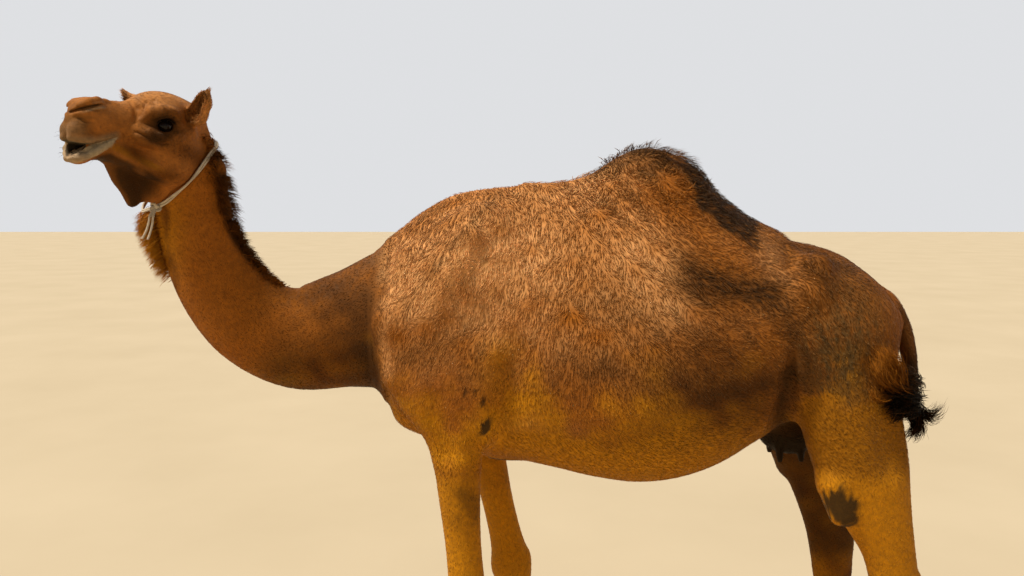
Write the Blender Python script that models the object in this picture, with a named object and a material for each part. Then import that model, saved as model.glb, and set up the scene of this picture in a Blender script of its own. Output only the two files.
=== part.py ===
"""Dromedary camel cow, life size, standing with her head turned to her left.

The body is one implicit surface: named masses (tubes, a barrel of sections, ellipsoids) that blend
into each other. It is meshed whole, thinned, and parted into named pieces with thin cuts.
Metres, +Z up, the camel faces -X and her left side is towards -Y.
"""

import math

import bmesh
import bpy
import numpy as np
from mathutils import Matrix

# ---------------------------------------------------------------- driving dimensions
LEFT, RIGHT = -1, 1
HEAD_TURN = math.radians(58)
HEAD_ROLL = math.radians(3)
HEAD_ORIGIN = (-0.921, -0.012, 1.988)  # between the ear bases
HEAD_CUT_SLOPE = 43  # of the cut behind the jaw, in degrees
MOUTH_CORNER = (0.277, 0, -0.102)  # in the head's frame
EYE_PLACE = (0.155, 0.061, -0.056)  # in the head's frame
EYE_RADIUS = 0.0215
HUMP_CUT_SLOPE = 12
EARS = {
    LEFT: [(0.072, 0.062, -0.028), (0.076, 0.102, -0.012), (0.083, 0.134, 0.014), (0.088, 0.160, 0.041)],
    RIGHT: [(0.072, -0.062, -0.028), (0.084, -0.110, -0.014), (0.099, -0.155, 0.008), (0.114, -0.187, 0.045)],
}
EAR_RADII = (0.024, 0.033, 0.027, 0.009)
FOOT_SIZES = {"fore": (0.196, 0.172), "hind": (0.176, 0.152)}
TEATS = [(0.805, -0.045), (0.805, 0.045), (0.870, -0.042), (0.870, 0.042)]
COLLAR_CENTRE = (-0.985, -0.040, 1.794)
COLLAR_DOWN = (-0.74, -0.10, -0.67)  # from the nape to the throat
COLLAR_NEAR = (0.46, -0.83, -0.44)  # across, to the camel's left
ROPE_RADIUS = 0.0062
KNOT_PLACE = 4  # the point of the collar's line that carries the knot
CORD_RADIUS = 0.003
CORD_LENGTH = 0.066
CORD_STARTS = [(-0.010, -0.016, -0.026), (0.000, -0.016, -0.026)]  # from the knot's middle
CORD_FALLS = [(-0.50, -0.12, -0.86), (-0.36, -0.14, -0.92)]
GAP = 0.0003
BODY_TRIANGLES = 3040

# ---------------------------------------------------------------- curves and shapes


def spline(keys, values, at):
    """A smooth cubic through (keys, values), read at the places `at`."""
    keys = np.asarray(keys, float)
    values = np.asarray(values, float)
    slopes = np.gradient(values, keys, axis=0)
    i = np.clip(np.searchsorted(keys, at) - 1, 0, len(keys) - 2)
    width = keys[i + 1] - keys[i]
    t = np.clip((at - keys[i]) / width, 0, 1)
    if values.ndim > 1:
        t, width = t[..., None], width[..., None]
    start, end = values[i], values[i + 1]
    rise_in, rise_out = slopes[i] * width, slopes[i + 1] * width
    cubic = 2 * (start - end) + rise_in + rise_out
    square = 3 * (end - start) - 2 * rise_in - rise_out
    return ((cubic * t + square) * t + rise_in) * t + start


class Place:
    """A local frame: points and directions given in it are turned into the body's frame."""

    def __init__(self, origin=(0, 0, 0), axes=None):
        self.origin = np.array(origin, float)
        self.axes = np.eye(3) if axes is None else np.array(axes, float)

    def point(self, local):
        return self.origin + self.axes @ np.asarray(local, float)


def turned(x=0.0, y=0.0, z=0.0):
    """A rotation matrix of degrees about X, then Y, then Z."""
    return np.array(
        Matrix.Rotation(math.radians(z), 3, "Z")
        @ Matrix.Rotation(math.radians(y), 3, "Y")
        @ Matrix.Rotation(math.radians(x), 3, "X")
    )


class Ball:
    """An ellipsoid."""

    def __init__(self, centre, radii, turn=(0, 0, 0), place=None):
        place = place or Place()
        self.radii = np.array(radii, float)
        self.axes = place.axes @ turned(*turn)
        self.centre = place.point(centre)
        reach = np.sqrt(((self.axes * self.radii) ** 2).sum(1))
        self.low, self.high = self.centre - reach, self.centre + reach

    def distance(self, x, y, z):
        x, y, z = x - self.centre[0], y - self.centre[1], z - self.centre[2]
        near, steep = 0.0, 0.0
        for axis, radius in zip(self.axes.T, self.radii):
            part = (x * axis[0] + y * axis[1] + z * axis[2]) / radius
            near = near + part * part
            steep = steep + (part / radius) ** 2
        near = np.sqrt(near)
        return near * (near - 1) / np.sqrt(steep + 1e-9)


class Limb:
    """A cone with round ends, from start to end, squashed along `flat` (a unit vector)."""

    def __init__(self, start, end, radius_start, radius_end, flat=(0, 1, 0), squash=1.0, place=None):
        place = place or Place()
        self.start, self.end = place.point(start), place.point(end)
        self.radii = (radius_start, radius_end)
        self.flat = place.axes @ np.array(flat, float)
        self.squash = squash
        reach = max(self.radii)
        self.low = np.minimum(self.start, self.end) - reach
        self.high = np.maximum(self.start, self.end) + reach

    def distance(self, x, y, z):
        along = self.end - self.start
        stretch = 1 / self.squash - 1
        along = along + self.flat * (along @ self.flat) * stretch
        x, y, z = x - self.start[0], y - self.start[1], z - self.start[2]
        off = (x * self.flat[0] + y * self.flat[1] + z * self.flat[2]) * stretch
        x, y, z = x + off * self.flat[0], y + off * self.flat[1], z + off * self.flat[2]
        t = np.clip((x * along[0] + y * along[1] + z * along[2]) / (along @ along), 0, 1)
        x, y, z = x - t * along[0], y - t * along[1], z - t * along[2]
        radius = self.radii[0] + t * (self.radii[1] - self.radii[0])
        return (np.sqrt(x * x + y * y + z * z) - radius) * (1 + self.squash) / 2


class Tube:
    """A tube that bends in a plane of nearly constant Y.
    Rows: x, y, z, half depth in that plane, half width."""

    def __init__(self, rows, samples=60):
        rows = np.array(rows, float)
        steps = np.linspace(0, len(rows) - 1, samples)
        self.path = spline(np.arange(len(rows)), rows, steps)
        reach = rows[:, 3:].max(1, keepdims=True)
        self.low, self.high = (rows[:, :3] - reach).min(0), (rows[:, :3] + reach).max(0)

    def distance(self, x, y, z):
        flat_x, flat_z = x[:, :, 0], z[0]
        nearest = np.full(np.broadcast_shapes(flat_x.shape, flat_z.shape), np.inf)
        middle, depth, width = (np.zeros_like(nearest) for _ in range(3))
        for a, b in zip(self.path[:-1], self.path[1:]):
            step_x, step_z = b[0] - a[0], b[2] - a[2]
            length = step_x**2 + step_z**2
            t = np.clip(((flat_x - a[0]) * step_x + (flat_z - a[2]) * step_z) / length, 0, 1)
            gap = (flat_x - a[0] - t * step_x) ** 2 + (flat_z - a[2] - t * step_z) ** 2
            closer = gap < nearest
            nearest = np.where(closer, gap, nearest)
            middle = np.where(closer, a[1] + t * (b[1] - a[1]), middle)
            depth = np.where(closer, a[3] + t * (b[3] - a[3]), depth)
            width = np.where(closer, a[4] + t * (b[4] - a[4]), width)
        nearest, middle, depth, width = (v[:, None, :] for v in (nearest, middle, depth, width))
        across = ((y - middle) / width) ** 2
        near = np.sqrt(nearest / depth**2 + across)
        steep = np.sqrt(nearest / depth**4 + across / width**2)
        return near * (near - 1) / (steep + 1e-6)


class Barrel:
    """Sections across X. Rows: x, top, bottom, half width, height where it is widest.
    upper and lower are the exponents of the section's two halves: 2 is an ellipse, less is more pointed."""

    def __init__(self, rows, upper=2.0, lower=2.0):
        self.rows = np.array(rows, float)
        self.upper, self.lower = upper, lower
        wide = self.rows[:, 3].max()
        self.low = np.array([self.rows[0, 0], -wide, self.rows[:, 2].min()])
        self.high = np.array([self.rows[-1, 0], wide, self.rows[:, 1].max()])

    def distance(self, x, y, z):
        top, bottom, wide, middle = (
            spline(self.rows[:, 0], self.rows[:, n], x) for n in (1, 2, 3, 4)
        )
        above = z > middle
        height = np.where(above, top - middle, middle - bottom)
        power = np.where(above, self.upper, self.lower)
        level = (np.abs(y) / wide) ** power + (np.abs(z - middle) / height) ** power
        level = level ** (1 / power) - 1
        slopes = np.gradient(level, x[:, 0, 0], y[0, :, 0], z[0, 0])
        level = level / np.sqrt(sum(s * s for s in slopes) + 1e-6)
        ends = np.maximum(self.rows[0, 0] - x, x - self.rows[-1, 0])
        return np.maximum(level, ends)


class Volume:
    """The distance to the surface on a grid of points, negative inside."""

    FAR = 0.2

    def __init__(self, xs, ys, zs):
        self.axes = [np.asarray(a, np.float32) for a in (xs, ys, zs)]
        self.values = np.full([len(a) for a in self.axes], self.FAR, np.float32)

    def at(self, points):
        """The distance at any points, between the grid's."""
        cell, share = [], []
        for n, axis in enumerate(self.axes):
            i = np.clip(np.searchsorted(axis, points[..., n]) - 1, 0, len(axis) - 2)
            cell.append(i)
            share.append(np.clip((points[..., n] - axis[i]) / (axis[i + 1] - axis[i]), 0, 1))
        total = 0
        for i in (0, 1):
            for j in (0, 1):
                for k in (0, 1):
                    weight = 1
                    for corner, s in zip((i, j, k), share):
                        weight = weight * (s if corner else 1 - s)
                    total = total + weight * self.values[cell[0] + i, cell[1] + j, cell[2] + k]
        return total

    def window(self, shape, margin):
        cut = tuple(
            slice(*np.searchsorted(axis, (low - margin, high + margin)))
            for axis, low, high in zip(self.axes, shape.low, shape.high)
        )
        grid = np.meshgrid(*(a[c] for a, c in zip(self.axes, cut)), indexing="ij", sparse=True)
        return cut, grid

    def add(self, shape, blend=0.02):
        """Joins a shape, with a fillet about as wide as `blend`."""
        cut, grid = self.window(shape, blend + 0.03)
        old, new = self.values[cut], shape.distance(*grid).astype(np.float32)
        overlap = np.maximum(blend - np.abs(old - new), 0)
        self.values[cut] = np.minimum(old, new) - overlap**2 / (4 * blend)

    def carve(self, shape, blend=0.005):
        """Cuts a shape away, with a rounded rim."""
        cut, grid = self.window(shape, blend + 0.01)
        old, new = self.values[cut], -shape.distance(*grid).astype(np.float32)
        overlap = np.maximum(blend - np.abs(old - new), 0)
        self.values[cut] = np.maximum(old, new) + overlap**2 / (4 * blend)


def surface(volume):
    """(points, quads) of the volume's zero surface, one point in each grid cell that it crosses."""
    v = volume.values
    inside = v < 0
    count = np.zeros([n - 1 for n in v.shape], np.uint8)
    corners = [(i, j, k) for i in (0, 1) for j in (0, 1) for k in (0, 1)]
    for i, j, k in corners:
        count += inside[i : v.shape[0] - 1 + i, j : v.shape[1] - 1 + j, k : v.shape[2] - 1 + k]
    cells = np.argwhere((count > 0) & (count < 8))
    number = np.full(count.shape, -1, np.int32)
    number[tuple(cells.T)] = np.arange(len(cells))
    total, hits = np.zeros((len(cells), 3)), np.zeros((len(cells), 1))
    for axis in range(3):
        step = np.eye(3, dtype=int)[axis]
        for corner in corners:
            if corner[axis]:
                continue
            a = cells + corner
            b = a + step
            value_a, value_b = v[tuple(a.T)], v[tuple(b.T)]
            crossed = (value_a < 0) != (value_b < 0)
            t = np.where(crossed, value_a / np.where(crossed, value_a - value_b, 1), 0)
            place = np.stack([volume.axes[n][a[:, n]] for n in range(3)], 1).astype(float)
            place[:, axis] += t * (volume.axes[axis][b[:, axis]] - place[:, axis])
            total += place * crossed[:, None]
            hits += crossed[:, None]
    points = total / hits
    quads = []
    for axis in range(3):
        side, up = [n for n in range(3) if n != axis]
        ahead = [slice(None)] * 3
        ahead[axis] = slice(1, None)
        behind = [slice(None)] * 3
        behind[axis] = slice(None, -1)
        edges = np.argwhere(inside[tuple(behind)] != inside[tuple(ahead)])
        edges = edges[(edges[:, side] > 0) & (edges[:, up] > 0)]
        ring = []
        for back_side, back_up in ((1, 1), (0, 1), (0, 0), (1, 0)):
            cell = edges.copy()
            cell[:, side] -= back_side
            cell[:, up] -= back_up
            ring.append(number[tuple(cell.T)])
        ring = np.stack(ring, 1)
        flip = inside[tuple(edges.T)] == (axis == 1)
        ring[flip] = ring[flip][:, ::-1]
        quads.append(ring)
    return points, np.concatenate(quads)


def graded(low, high, fine_low, fine_high, fine, coarse):
    """Grid lines from low to high, `fine` apart from fine_low to fine_high and `coarse` apart elsewhere."""
    before = np.arange(fine_low, low, -coarse)[:0:-1]
    middle = np.arange(fine_low, fine_high, fine)
    after = np.arange(fine_high, high, coarse)
    return np.concatenate([before, middle, after])


# ---------------------------------------------------------------- the camel's masses


def head_place():
    """The head's own frame: +x to the muzzle, +y to the camel's left, +z up."""
    turn, roll = HEAD_TURN, HEAD_ROLL
    forward = np.array([-math.cos(turn), -math.sin(turn), 0])
    left = np.array([math.sin(turn), -math.cos(turn), 0])
    up = np.array([0, 0, 1.0])
    left, up = left * math.cos(roll) - up * math.sin(roll), up * math.cos(roll) + left * math.sin(roll)
    return Place(HEAD_ORIGIN, np.stack([forward, left, up], 1))


TRUNK = [
    # x, top, bottom, half width, widest at
    (-0.36, 1.610, 1.150, 0.150, 1.35),
    (-0.28, 1.690, 1.050, 0.195, 1.34),
    (-0.19, 1.745, 0.995, 0.222, 1.32),
    (-0.08, 1.770, 0.958, 0.245, 1.30),
    (0.02, 1.775, 0.948, 0.268, 1.27),
    (0.12, 1.765, 0.930, 0.295, 1.25),
    (0.24, 1.750, 0.904, 0.325, 1.23),
    (0.38, 1.740, 0.890, 0.345, 1.22),
    (0.50, 1.730, 0.907, 0.342, 1.23),
    (0.60, 1.700, 0.943, 0.322, 1.25),
    (0.70, 1.655, 1.000, 0.292, 1.28),
    (0.80, 1.620, 1.060, 0.260, 1.31),
    (0.90, 1.602, 1.115, 0.232, 1.34),
    (1.00, 1.560, 1.180, 0.195, 1.36),
    (1.08, 1.490, 1.240, 0.150, 1.37),
    (1.15, 1.420, 1.310, 0.080, 1.37),
]

HUMP = [
    (0.06, 1.760, 1.50, 0.060, 1.58),
    (0.16, 1.793, 1.48, 0.100, 1.58),
    (0.23, 1.825, 1.46, 0.125, 1.57),
    (0.30, 1.870, 1.45, 0.145, 1.57),
    (0.36, 1.897, 1.45, 0.155, 1.57),
    (0.42, 1.900, 1.45, 0.160, 1.57),
    (0.49, 1.880, 1.45, 0.158, 1.56),
    (0.55, 1.843, 1.45, 0.150, 1.55),
    (0.62, 1.762, 1.45, 0.135, 1.53),
    (0.70, 1.680, 1.45, 0.110, 1.52),
    (0.78, 1.632, 1.45, 0.075, 1.52),
]

NECK = [
    # x, y, z, half depth, half width
    (-0.16, 0.0, 1.410, 0.260, 0.160),
    (-0.34, 0.0, 1.372, 0.222, 0.148),
    (-0.50, 0.0, 1.338, 0.180, 0.120),
    (-0.65, 0.0, 1.313, 0.158, 0.100),
    (-0.78, 0.0, 1.362, 0.143, 0.090),
    (-0.865, 0.0, 1.452, 0.132, 0.084),
    (-0.920, -0.008, 1.560, 0.118, 0.079),
    (-0.950, -0.022, 1.670, 0.107, 0.075),
    (-0.964, -0.036, 1.780, 0.101, 0.073),
    (-0.965, -0.040, 1.880, 0.080, 0.068),
]

FORELEG = [
    (-0.200, 0.165, 1.260, 0.150, 0.080),
    (-0.165, 0.185, 1.100, 0.100, 0.068),
    (-0.155, 0.186, 0.990, 0.072, 0.058),
    (-0.149, 0.184, 0.870, 0.060, 0.052),
    (-0.140, 0.180, 0.740, 0.053, 0.047),
    (-0.131, 0.178, 0.620, 0.055, 0.048),
    (-0.125, 0.175, 0.520, 0.066, 0.056),
    (-0.118, 0.175, 0.440, 0.052, 0.046),
    (-0.115, 0.175, 0.330, 0.038, 0.036),
    (-0.113, 0.175, 0.220, 0.038, 0.037),
    (-0.113, 0.175, 0.155, 0.046, 0.045),
    (-0.125, 0.175, 0.095, 0.044, 0.048),
    (-0.140, 0.175, 0.045, 0.048, 0.055),
]

HINDLEG = [
    (0.935, 0.130, 1.330, 0.155, 0.105),
    (0.945, 0.160, 1.200, 0.148, 0.095),
    (0.965, 0.180, 1.090, 0.142, 0.085),
    (0.995, 0.192, 0.975, 0.130, 0.075),
    (1.032, 0.196, 0.860, 0.104, 0.064),
    (1.072, 0.195, 0.750, 0.078, 0.054),
    (1.096, 0.190, 0.655, 0.070, 0.048),
    (1.108, 0.187, 0.560, 0.070, 0.047),
    (1.108, 0.185, 0.470, 0.064, 0.044),
    (1.106, 0.185, 0.380, 0.042, 0.037),
    (1.104, 0.185, 0.280, 0.036, 0.035),
    (1.103, 0.185, 0.200, 0.038, 0.037),
    (1.102, 0.185, 0.150, 0.044, 0.042),
    (1.090, 0.185, 0.095, 0.042, 0.045),
    (1.075, 0.185, 0.045, 0.046, 0.050),
]

TAIL = [
    (1.085, 0.0, 1.440, 0.045, 0.042),
    (1.135, 0.0, 1.412, 0.038, 0.036),
    (1.180, -0.004, 1.340, 0.030, 0.028),
    (1.198, -0.018, 1.260, 0.025, 0.025),
    (1.185, -0.070, 1.180, 0.021, 0.023),
    (1.150, -0.150, 1.140, 0.018, 0.020),
]

# the long hair, as the masses that it fills
MANE = [
    (-0.905, -0.040, 1.910),
    (-0.868, -0.033, 1.820),
    (-0.850, -0.020, 1.690),
    (-0.800, 0, 1.540),
    (-0.700, 0, 1.452),
]
BEARD = [(-1.045, -0.052, 1.698), (-1.062, -0.042, 1.635), (-1.028, -0.012, 1.525)]
TUFT = [(1.150, -0.150, 1.160), (1.085, -0.232, 1.175), (1.010, -0.262, 1.215), (0.985, -0.266, 1.268)]
TUFT_CURL = [(1.120, -0.205, 1.150), (1.135, -0.190, 1.082)]

# how far each leg stands behind the ones in the tables, by height
STANDS = {
    ("fore", LEFT): [(0.0, 0.0), (1.3, 0.0)],
    ("fore", RIGHT): [(0, 0.150), (0.155, 0.145), (0.52, 0.125), (0.87, 0.072), (1.1, 0.030), (1.3, 0)],
    ("hind", LEFT): [(0.0, 0.0), (1.3, 0.0)],
    ("hind", RIGHT): [(0, -0.030), (0.47, -0.030), (0.72, -0.050), (0.87, -0.025), (1.1, 0), (1.3, 0)],
}


def leg_rows(pair, side):
    """The rows of one leg, on its side and in its stance."""
    rows = FORELEG if pair == "fore" else HINDLEG
    heights, moves = zip(*STANDS[pair, side])
    placed = []
    for x, y, z, depth, width in rows:
        placed.append((x + np.interp(z, heights, moves), side * y, z, depth, width))
    return placed


def foot_place(pair, side):
    """Where the middle of a foot stands."""
    x, y = leg_rows(pair, side)[-1][:2]
    return x - 0.012, y


def add_head(volume):
    at = head_place()

    def ball(centre, radii, blend=0.02, turn=(0, 0, 0)):
        volume.add(Ball(centre, radii, turn, at), blend)

    # braincase, brow, muzzle, cheeks, jaws
    ball((0.080, 0, -0.042), (0.095, 0.070, 0.072))
    ball((0.135, 0, -0.022), (0.080, 0.074, 0.063), 0.03)
    volume.add(Limb((0.165, 0, -0.050), (0.330, 0, -0.036), 0.053, 0.036, squash=0.9, place=at), 0.04)
    ball((0.240, 0, -0.078), (0.112, 0.053, 0.052), 0.03)
    ball((0.335, 0, -0.060), (0.056, 0.042, 0.048), 0.03)
    for side in (LEFT, RIGHT):
        left = -side
        ball((0.158, 0.064 * left, -0.026), (0.044, 0.030, 0.026), 0.02)
        ball((0.175, 0.064 * left, -0.092), (0.065, 0.022, 0.026), 0.03)
        ball((0.105, 0.046 * left, -0.125), (0.074, 0.032, 0.085), 0.03)
        ball((0.362, 0.015 * left, -0.084), (0.030, 0.026, 0.032), 0.014)
        ball((0.338, 0.021 * left, -0.018), (0.032, 0.017, 0.017), 0.012)
        jaw = Limb((0.115, 0.034 * left, -0.180), (0.305, 0.016 * left, -0.128), 0.036, 0.022, place=at)
        volume.add(jaw, 0.03)
    # chin, lower lip, throat
    ball((0.325, 0, -0.131), (0.042, 0.029, 0.018), 0.02)
    ball((0.360, 0, -0.147), (0.026, 0.031, 0.017), 0.012)
    volume.add(Limb((0.254, 0, -0.172), (0.215, 0, -0.266), 0.024, 0.012, squash=0.8, place=at), 0.03)
    volume.add(Limb((0.200, 0, -0.249), (0.128, 0, -0.222), 0.015, 0.046, squash=0.65, place=at), 0.03)
    volume.add(Limb((0.236, 0, -0.190), (0.150, 0, -0.205), 0.028, 0.045, squash=0.55, place=at), 0.03)
    volume.carve(Ball((0.375, 0, -0.122), (0.046, 0.045, 0.011), (0, 6, 0), at), 0.006)
    for side in (LEFT, RIGHT):
        ear = EARS[side]
        for n in range(3):
            start, end = EAR_RADII[n], EAR_RADII[n + 1]
            volume.add(Limb(ear[n], ear[n + 1], start, end, flat=(1, 0, 0), squash=0.62, place=at), 0.018)


def strand(volume, path, radii, squash=1.0, blend=0.02):
    """Adds a run of cones through the points of a path."""
    for n, (start, end) in enumerate(zip(path[:-1], path[1:])):
        volume.add(Limb(start, end, radii[n], radii[n + 1], squash=squash), blend)


def body():
    """All the flesh and coat of the camel, as one volume."""
    volume = Volume(
        graded(-1.45, 1.32, -1.24, -0.82, 0.006, 0.0125),
        graded(-0.44, 0.44, -0.40, 0.14, 0.006, 0.0125),
        graded(-0.0625, 2.14, 1.6875, 2.09, 0.006, 0.0125),
    )
    volume.add(Barrel(TRUNK, upper=1.75, lower=2.15))
    volume.add(Barrel(HUMP, upper=1.9), 0.09)
    volume.add(Tube(NECK), 0.08)
    for side in (LEFT, RIGHT):
        # shoulder blade, point of the shoulder, upper arm, croup
        volume.add(Ball((-0.160, 0.130 * side, 1.46), (0.130, 0.085, 0.270), (0, 22, 0)), 0.08)
        volume.add(Ball((-0.250, 0.145 * side, 1.30), (0.110, 0.080, 0.130)), 0.06)
        volume.add(Ball((-0.185, 0.170 * side, 1.20), (0.140, 0.075, 0.120), (0, -20, 0)), 0.05)
        volume.add(Ball((0.930, 0.110 * side, 1.350), (0.150, 0.115, 0.165), (0, 25, 0)), 0.08)
        for pair, blend in (("fore", 0.04), ("hind", 0.05)):
            volume.add(Tube(leg_rows(pair, side)), blend)
            length, wide = FOOT_SIZES[pair]
            x, y = foot_place(pair, side)
            volume.add(Ball((x, y, 0.022), (length / 2, wide / 2, 0.045)), 0.03)
        # point of the hock
        x, y = leg_rows("hind", side)[7][:2]
        volume.add(Ball((x + 0.046, y, 0.600), (0.026, 0.024, 0.062), (0, 8, 0)), 0.03)
    # breast, sternal pad, udder
    volume.add(Ball((-0.29, 0, 1.19), (0.09, 0.14, 0.14)), 0.06)
    volume.add(Ball((-0.01, 0, 0.975), (0.095, 0.080, 0.034)), 0.02)
    volume.add(Ball((0.850, 0, 1.045), (0.105, 0.078, 0.090)), 0.03)
    add_head(volume)
    strand(volume, MANE, (0.030, 0.034, 0.036, 0.032, 0.020), squash=0.8)
    strand(volume, BEARD, (0.032, 0.036, 0.024), squash=0.9)
    below = -0.010 - volume.axes[2]
    volume.values = np.maximum(volume.values, below[None, None, :])
    return volume


# ---------------------------------------------------------------- solids


def new_object(name, mesh):
    obj = bpy.data.objects.new(name, mesh)
    bpy.context.collection.objects.link(obj)
    return obj


def skinned(volume, name, triangles):
    """The volume's surface as an object of about this many triangles."""
    points, quads = surface(volume)
    mesh = bpy.data.meshes.new(name)
    mesh.from_pydata(points.tolist(), [], quads.tolist())
    obj = new_object(name, mesh)
    thin = obj.modifiers.new("thin", "DECIMATE")
    thin.ratio = triangles / (2 * len(quads))
    settle(obj)
    return obj


def settle(obj):
    """Applies the object's modifiers, and drops faces without area."""
    graph = bpy.context.evaluated_depsgraph_get()
    mesh = bpy.data.meshes.new_from_object(obj.evaluated_get(graph))
    obj.modifiers.clear()
    shape = bmesh.new()
    shape.from_mesh(mesh)
    bmesh.ops.dissolve_degenerate(shape, dist=1e-6, edges=shape.edges)
    bmesh.ops.triangulate(shape, faces=shape.faces)
    shape.to_mesh(mesh)
    shape.free()
    obj.data = mesh


def combine(obj, tool, operation):
    cut = obj.modifiers.new(operation, "BOOLEAN")
    cut.object, cut.operation, cut.solver = tool, operation, "EXACT"
    settle(obj)


def block(low, high, place=None):
    """A box from corner to corner, in a local frame."""
    place = place or Place()
    shape = bmesh.new()
    bmesh.ops.create_cube(shape, size=1)
    for vertex in shape.verts:
        local = [a if c < 0 else b for c, a, b in zip(vertex.co, low, high)]
        vertex.co = place.point(local)
    bmesh.ops.recalc_face_normals(shape, faces=shape.faces)
    mesh = bpy.data.meshes.new("block")
    shape.to_mesh(mesh)
    shape.free()
    return new_object("block", mesh)


def part_off(whole, name, low, high, place=None):
    """Cuts the piece inside a box off the whole, with a thin gap."""
    piece = new_object(name, whole.data.copy())
    tool = block(low, high, place)
    combine(piece, tool, "INTERSECT")
    wide = block([v - GAP for v in low], [v + GAP for v in high], place)
    combine(whole, wide, "DIFFERENCE")
    for used in (tool, wide):
        bpy.data.objects.remove(used)
    return piece


def seat(child, *parents):
    """Makes room for the child in its parents, with a thin gap."""
    room = new_object("room", child.data.copy())
    room.data.calc_loop_triangles()
    normals = [vertex.normal.copy() for vertex in room.data.vertices]
    for vertex, normal in zip(room.data.vertices, normals):
        vertex.co += normal * GAP * 1.5
    for parent in parents:
        combine(parent, room, "DIFFERENCE")
    bpy.data.objects.remove(room)


def ellipsoid(name, centre, radii, turn=(0, 0, 0), place=None, detail=3):
    place = place or Place()
    shape = bmesh.new()
    bmesh.ops.create_icosphere(shape, subdivisions=detail, radius=1)
    axes = turned(*turn)
    for vertex in shape.verts:
        vertex.co = place.point(np.array(centre) + axes @ (np.array(vertex.co) * radii))
    bmesh.ops.recalc_face_normals(shape, faces=shape.faces)
    mesh = bpy.data.meshes.new(name)
    shape.to_mesh(mesh)
    shape.free()
    return new_object(name, mesh)


def tube_object(name, points, radius, closed=False, flatten=1.0, sides=2):
    """A round rope along points, as a mesh."""
    curve = bpy.data.curves.new(name, "CURVE")
    curve.dimensions = "3D"
    curve.bevel_depth = radius
    curve.bevel_resolution = sides
    curve.use_fill_caps = True
    line = curve.splines.new("POLY")
    line.points.add(len(points) - 1)
    for knot, point in zip(line.points, points):
        knot.co = (*point, 1)
    line.use_cyclic_u = closed
    obj = new_object(name, curve)
    graph = bpy.context.evaluated_depsgraph_get()
    mesh = bpy.data.meshes.new_from_object(obj.evaluated_get(graph))
    bpy.data.objects.remove(obj)
    solid = new_object(name, mesh)
    weld = solid.modifiers.new("weld", "WELD")
    weld.merge_threshold = 0.00001
    settle(solid)
    return solid


def collar_route(volume, count=36):
    """The collar's closed line: the neck's section behind the jaw, pulled taut over hollows."""
    centre = np.array(COLLAR_CENTRE)
    down = np.array(COLLAR_DOWN) / np.linalg.norm(COLLAR_DOWN)
    near = np.array(COLLAR_NEAR) - down * (np.array(COLLAR_NEAR) @ down)
    near /= np.linalg.norm(near)
    angles = np.linspace(0, 2 * np.pi, 4 * count, endpoint=False)
    rays = np.cos(angles)[:, None] * down + np.sin(angles)[:, None] * near
    steps = np.arange(0.03, 0.20, 0.0005)
    depth = volume.at(centre + rays[:, None, :] * steps[None, :, None])
    reach = steps[np.argmax(depth > 0, axis=1)]
    # taut: every point is at least on the chord between any two others
    flat = np.stack([np.cos(angles), np.sin(angles)], 1) * reach[:, None]
    support = np.array([(flat @ (np.cos(a), np.sin(a))).max() for a in angles])
    turn = angles[:, None] - angles[None, :]
    facing = np.cos(turn) > 0.05
    taut = np.where(facing, support[None, :] / np.where(facing, np.cos(turn), 1), 9).min(1)
    every = slice(None, None, 4)
    return centre + rays[every] * (taut[every] + ROPE_RADIUS * 0.4)[:, None]


def cord_line(start, fall, count=15):
    """A short cord's line from the knot: straight down at first, then bending to its fall."""
    fall = np.array(fall) / np.linalg.norm(fall)
    share = np.linspace(0, 1, count)[1:, None] ** 0.7
    steps = share * fall + (1 - share) * np.array((0, 0, -1.0))
    steps *= CORD_LENGTH / (count - 1) / np.linalg.norm(steps, axis=1, keepdims=True)
    return np.vstack([start, start + np.cumsum(steps, axis=0)])


def painted(obj, colour, roughness=0.9):
    """Gives the object its own material, and smooth shading."""
    material = bpy.data.materials.new(obj.name)
    material.use_nodes = True
    shader = material.node_tree.nodes["Principled BSDF"]
    shader.inputs["Base Color"].default_value = (*colour, 1)
    shader.inputs["Roughness"].default_value = roughness
    shader.inputs["Metallic"].default_value = 0
    obj.data.materials.clear()
    obj.data.materials.append(material)
    obj.data.shade_smooth()
    obj.data.set_sharp_from_angle(angle=math.radians(50))


COAT = (0.36, 0.17, 0.05)
WOOL = (0.16, 0.075, 0.03)
DARK_HAIR = (0.02, 0.012, 0.008)
PAD = (0.10, 0.085, 0.055)
HORN = (0.05, 0.035, 0.025)
ROPE = (0.62, 0.55, 0.42)


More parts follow.
